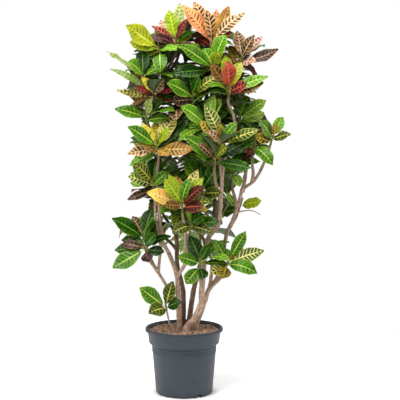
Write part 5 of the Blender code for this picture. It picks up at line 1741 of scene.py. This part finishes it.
# %% Leaf material: dark bars
def dark_bars(tree, sideways, across, phase, near, blotch, cover, share):
    """Where the dark bars lie: wedges between two veins, each with a strength of its own."""
    wedge = add(tree, "MapRange", {0: across, 1: 0.15, 2: 1.0, 3: 1.15, 4: 0.45})
    beside = add(tree, "MapRange", {0: across, 1: 0.05, 2: 0.16})
    window = add(tree, "Math", {0: wedge, 1: beside}, operation="MULTIPLY")
    between = add(tree, "Math", {0: 1.0, 1: near}, operation="SUBTRACT")
    bar = add(tree, "Math", {0: between, 1: window}, operation="MULTIPLY")
    field_number = add(tree, "Math", {0: phase}, operation="FLOOR")
    half_leaf = add(tree, "Math", {0: sideways}, operation="SIGN")
    bar_name = add(tree, "CombineXYZ", {0: field_number, 1: half_leaf})
    chance = add(tree, "TexWhiteNoise", {"Vector": bar_name}, take="Value")
    own = add(tree, "MapRange", {0: chance, 3: -0.30, 4: 0.22})
    ragged = add(tree, "MapRange", {0: blotch, 1: 0.25, 2: 0.75, 3: -0.26, 4: 0.26})
    uneven = add(tree, "Math", {0: own, 1: ragged}, operation="ADD")
    score = add(tree, "Math", {0: bar, 1: uneven}, operation="ADD")
    edge = add(tree, "Math", {0: 0.92, 1: cover}, operation="SUBTRACT")
    edge_end = add(tree, "Math", {0: edge, 1: 0.12}, operation="ADD")
    patches = add(tree, "MapRange", {0: score, 1: edge, 2: edge_end},
                  interpolation_type="SMOOTHSTEP")
    before_tip = add(tree, "MapRange", {0: share, 1: 0.92, 2: 0.99, 3: 1.0, 4: 0.0})
    return add(tree, "Math", {0: patches, 1: before_tip}, operation="MULTIPLY")


print("tones from", min(row[4] for row in TONES.values()), "covered by bars to",
      max(row[4] for row in TONES.values()))

# %% Leaf material: skin
BLOTCH_SIZE = 0.009
NET_SIZE = 0.003
MOTTLE_SIZE = 0.030


def croton_leaf_cuticle(name, gloss):
    """A waxy leaf skin: veins and patches by place in the leaf, colours from the mesh."""
    material, tree, shader = start_material(name, IOR=1.45, Specular_IOR_Level=0.20)
    leaf_map = add(tree, "UVMap", uv_map="leaf")
    sideways, row = (add(tree, "SeparateXYZ", {0: leaf_map}, take=axis) for axis in "XY")
    across = add(tree, "Math", {0: sideways}, operation="ABSOLUTE")
    where = add(tree, "TexCoord", take="Object")
    field, patch, vein, habit = (add(tree, "Attribute", take="Color", attribute_name=kept)
                                 for kept in ("field", "patch", "vein", "habit"))
    cover, spread, share = (add(tree, "SeparateColor", {0: habit}, take=part)
                            for part in ("Red", "Green", "Blue"))
    under = add(tree, "Attribute", take="Fac", attribute_name="under")

    blotch = add(tree, "TexNoise", {"Vector": where, "Scale": 1 / BLOTCH_SIZE, "Detail": 2.0},
                 take="Fac")
    sway = add(tree, "MapRange", {0: blotch, 3: -0.14, 4: 0.14})
    phase = add(tree, "Math", {0: row, 1: sway}, operation="ADD")
    saw = add(tree, "Math", {0: phase}, operation="FRACT")
    centred = add(tree, "Math", {0: saw, 1: 0.5}, operation="SUBTRACT")
    half_way = add(tree, "Math", {0: centred}, operation="ABSOLUTE")
    near = add(tree, "Math", {0: half_way, 1: 2.0}, operation="MULTIPLY")
    line = vein_lines(tree, across, near, spread, share)
    bars = dark_bars(tree, sideways, across, phase, near, blotch, cover, share)

    net = add(tree, "TexVoronoi", {"Vector": where, "Scale": 1 / NET_SIZE}, take="Distance",
              feature="DISTANCE_TO_EDGE")
    net_line = add(tree, "MapRange", {0: net, 1: 0.02, 2: 0.10, 3: 0.16, 4: 0.0})
    mottle = add(tree, "TexNoise", {"Vector": where, "Scale": 1 / MOTTLE_SIZE, "Detail": 3.0},
                 take="Fac")
    tone = add(tree, "MapRange", {0: mottle, 1: 0.3, 2: 0.7, 3: 0.84, 4: 1.12})
    blade = add(tree, "Mix", {0: bars, MIX_A: field, MIX_B: patch}, **COLOUR_MIX)
    netted = add(tree, "Mix", {0: net_line, MIX_A: blade, MIX_B: vein}, **COLOUR_MIX)
    veined = add(tree, "Mix", {0: line, MIX_A: netted, MIX_B: vein}, **COLOUR_MIX)
    colour = add(tree, "VectorMath", {0: veined, "Scale": tone}, operation="SCALE")
    rough = add(tree, "MapRange", {0: under, 3: gloss, 4: 0.60})
    crease = add(tree, "Math", {0: line, 1: net_line}, operation="ADD")
    bump = add(tree, "Bump", {"Height": crease, "Strength": 0.35, "Distance": 0.0004},
               invert=True)
    plug(tree, shader, Base_Color=colour, Roughness=rough, Normal=bump)
    return material


LEAF_GLOSS = {"green": 0.26, "lime": 0.30, "gold": 0.32, "orange": 0.34, "red": 0.30,
              "bronze": 0.32}
cuticles = {group: croton_leaf_cuticle("croton_leaf_cuticle_" + group, gloss)
            for group, gloss in LEAF_GLOSS.items()}
print("leaf materials", len(cuticles))

# %% [markdown]
# ## The rosettes
# A leafy shoot is a short green twig that ends in a pointed bud, and its leaves sit in it by
# their round stalks. Every leaf could be an object of its own, but hundreds of objects are slow
# to handle. So each rosette is gathered into one mesh, leaf after leaf, with the twig in the same
# skin, and takes the place of its plain solid.

# %% Rosettes: gathering
UNDER_PALE = 0.30
UNDER_GREY = "#9aa884"


class Gathering:
    """Points, faces and what the material reads, of all that grows on one shoot."""

    def __init__(self):
        self.points = []
        self.faces = []
        self.places = []
        self.values = {"field": [], "patch": [], "vein": [], "habit": [], "under": []}
        self.count = 0

    def put(self, points, faces, places, colours, blush, cover, spread, share, under):
        """Add one leaf or twig; blush is how far the second of its colours washes over."""
        size = len(points)
        self.points.append(np.asarray(points))
        self.faces += faces
        self.places.append(places)
        grey = np.array(linear(UNDER_GREY))
        field, second, patch, vein = (np.tile(linear(colour), (size, 1)) for colour in colours)
        field += (second - field) * blush[:, None]
        for key, even in zip(("field", "patch", "vein"), (field, patch, vein)):
            even += (grey - even) * (under[:, None] * UNDER_PALE)
            self.values[key].append(np.column_stack([even, np.ones(size)]))
        habit = np.column_stack([np.full(size, cover), np.full(size, spread), share, np.ones(size)])
        self.values["habit"].append(habit)
        self.values["under"].append(under)
        self.count += size

    def mesh(self, name):
        """Everything that was put in, as one mesh."""
        mesh = bpy.data.meshes.new(name)
        mesh.from_pydata(np.concatenate(self.points).tolist(), [], self.faces)
        for key, values in self.values.items():
            store(mesh, key, "FLOAT" if key == "under" else "FLOAT_COLOR", np.concatenate(values))
        corner = np.zeros(len(mesh.loops), np.int32)
        mesh.loops.foreach_get("vertex_index", corner)
        layer = mesh.uv_layers.new(name="leaf")
        places = np.concatenate(self.places)[corner].astype(np.float32)
        layer.data.foreach_set("uv", places.ravel())
        return mesh


print("undersides are", round(100 * UNDER_PALE), "% of the way to", UNDER_GREY)

# %% Rosettes: twig and leaves
SHOOT_SIDES = 10
SHOOT_STEPS = 14
BUD_STEPS = 5
BUD_LENGTH = 0.012
BUD_TIP_RADIUS = 0.0003
SHOOT_COLOURS = ("#6f6a3a", "#7a5c3c", "#5a4a30", "#8a8450")
SHOOT_COVER = 0.45
VEIN_STEP = 32
BLUSH = 0.25
BLUSH_WAVES = 0.35


def put_shoot(gathering, shoot):
    """The smooth twig of a rosette, with the bud at its tip."""
    base, axis, length = shoot
    steps, bud = SHOOT_STEPS, BUD_STEPS
    line = [base + axis * (length * step / steps) for step in range(steps + 1)]
    line += [base + axis * (length + BUD_LENGTH * step / bud) for step in range(1, bud + 1)]
    radii = [SHOOT_RADIUS + (SHOOT_TIP_RADIUS - SHOOT_RADIUS) * step / steps
             for step in range(steps + 1)]
    radii += [SHOOT_TIP_RADIUS * (1 - (step / bud) ** 1.5) + BUD_TIP_RADIUS
              for step in range(1, bud + 1)]
    rings = tube_surface(line, radii, SHOOT_SIDES)[0]
    size = len(rings)
    faces = rows_to_faces(len(line), SHOOT_SIDES, gathering.count)
    places = np.tile([0.5, 0.5], (size, 1))
    even = np.zeros(size)
    gathering.put(rings, faces, places, SHOOT_COLOURS, even, SHOOT_COVER, 0.0, np.ones(size),
                  even)


def blush_of(at, across, draw):
    """How far the second colour washes over each point of a leaf, from its place in the blade."""
    toward_tip = draw.uniform(-1.3, 1.3)
    toward_margin = draw.uniform(-0.2, 0.9)
    slanted = at * draw.uniform(6, 12) + across * draw.uniform(-2, 2)
    waves = BLUSH_WAVES * np.sin(slanted + draw.uniform(0, 6.3))
    wash = BLUSH + toward_tip * (at - 0.5) + toward_margin * (np.abs(across) - 0.4) + waves
    return np.clip(wash, 0, 1)


def make_rosette(name):
    """All the fine leaves of a rosette on their twig, in place of the plain rosette."""
    gathering = Gathering()
    put_shoot(gathering, shoots[name])
    around = len(TOP_ACROSS + UNDER_ACROSS)
    for number, (leaf, tone) in enumerate(zip(leaves[name] + extra[name], tones_of(name))):
        draw = random.Random(f"{name} {number}")
        points, places, habit, rows = leaf_points(leaf, draw)
        *colours, cover, spread = TONES[tone]
        faces = rows_to_faces(rows, around, gathering.count)
        blush = blush_of(habit[:, 0], places[:, 0], draw)
        cover += draw.uniform(-0.06, 0.06)
        places[:, 1] += VEIN_STEP * number
        gathering.put(points, faces, places, colours, blush, cover, spread, *habit.T)
    group = ROSETTES[name][0]
    mesh = gathering.mesh(name)
    return make_piece("leafy_" + name, mesh, cuticles[group], "leaves_" + name)


faces = 0
for name in ROSETTES:
    faces += len(make_rosette(name).data.polygons)
print("leaf faces", faces)
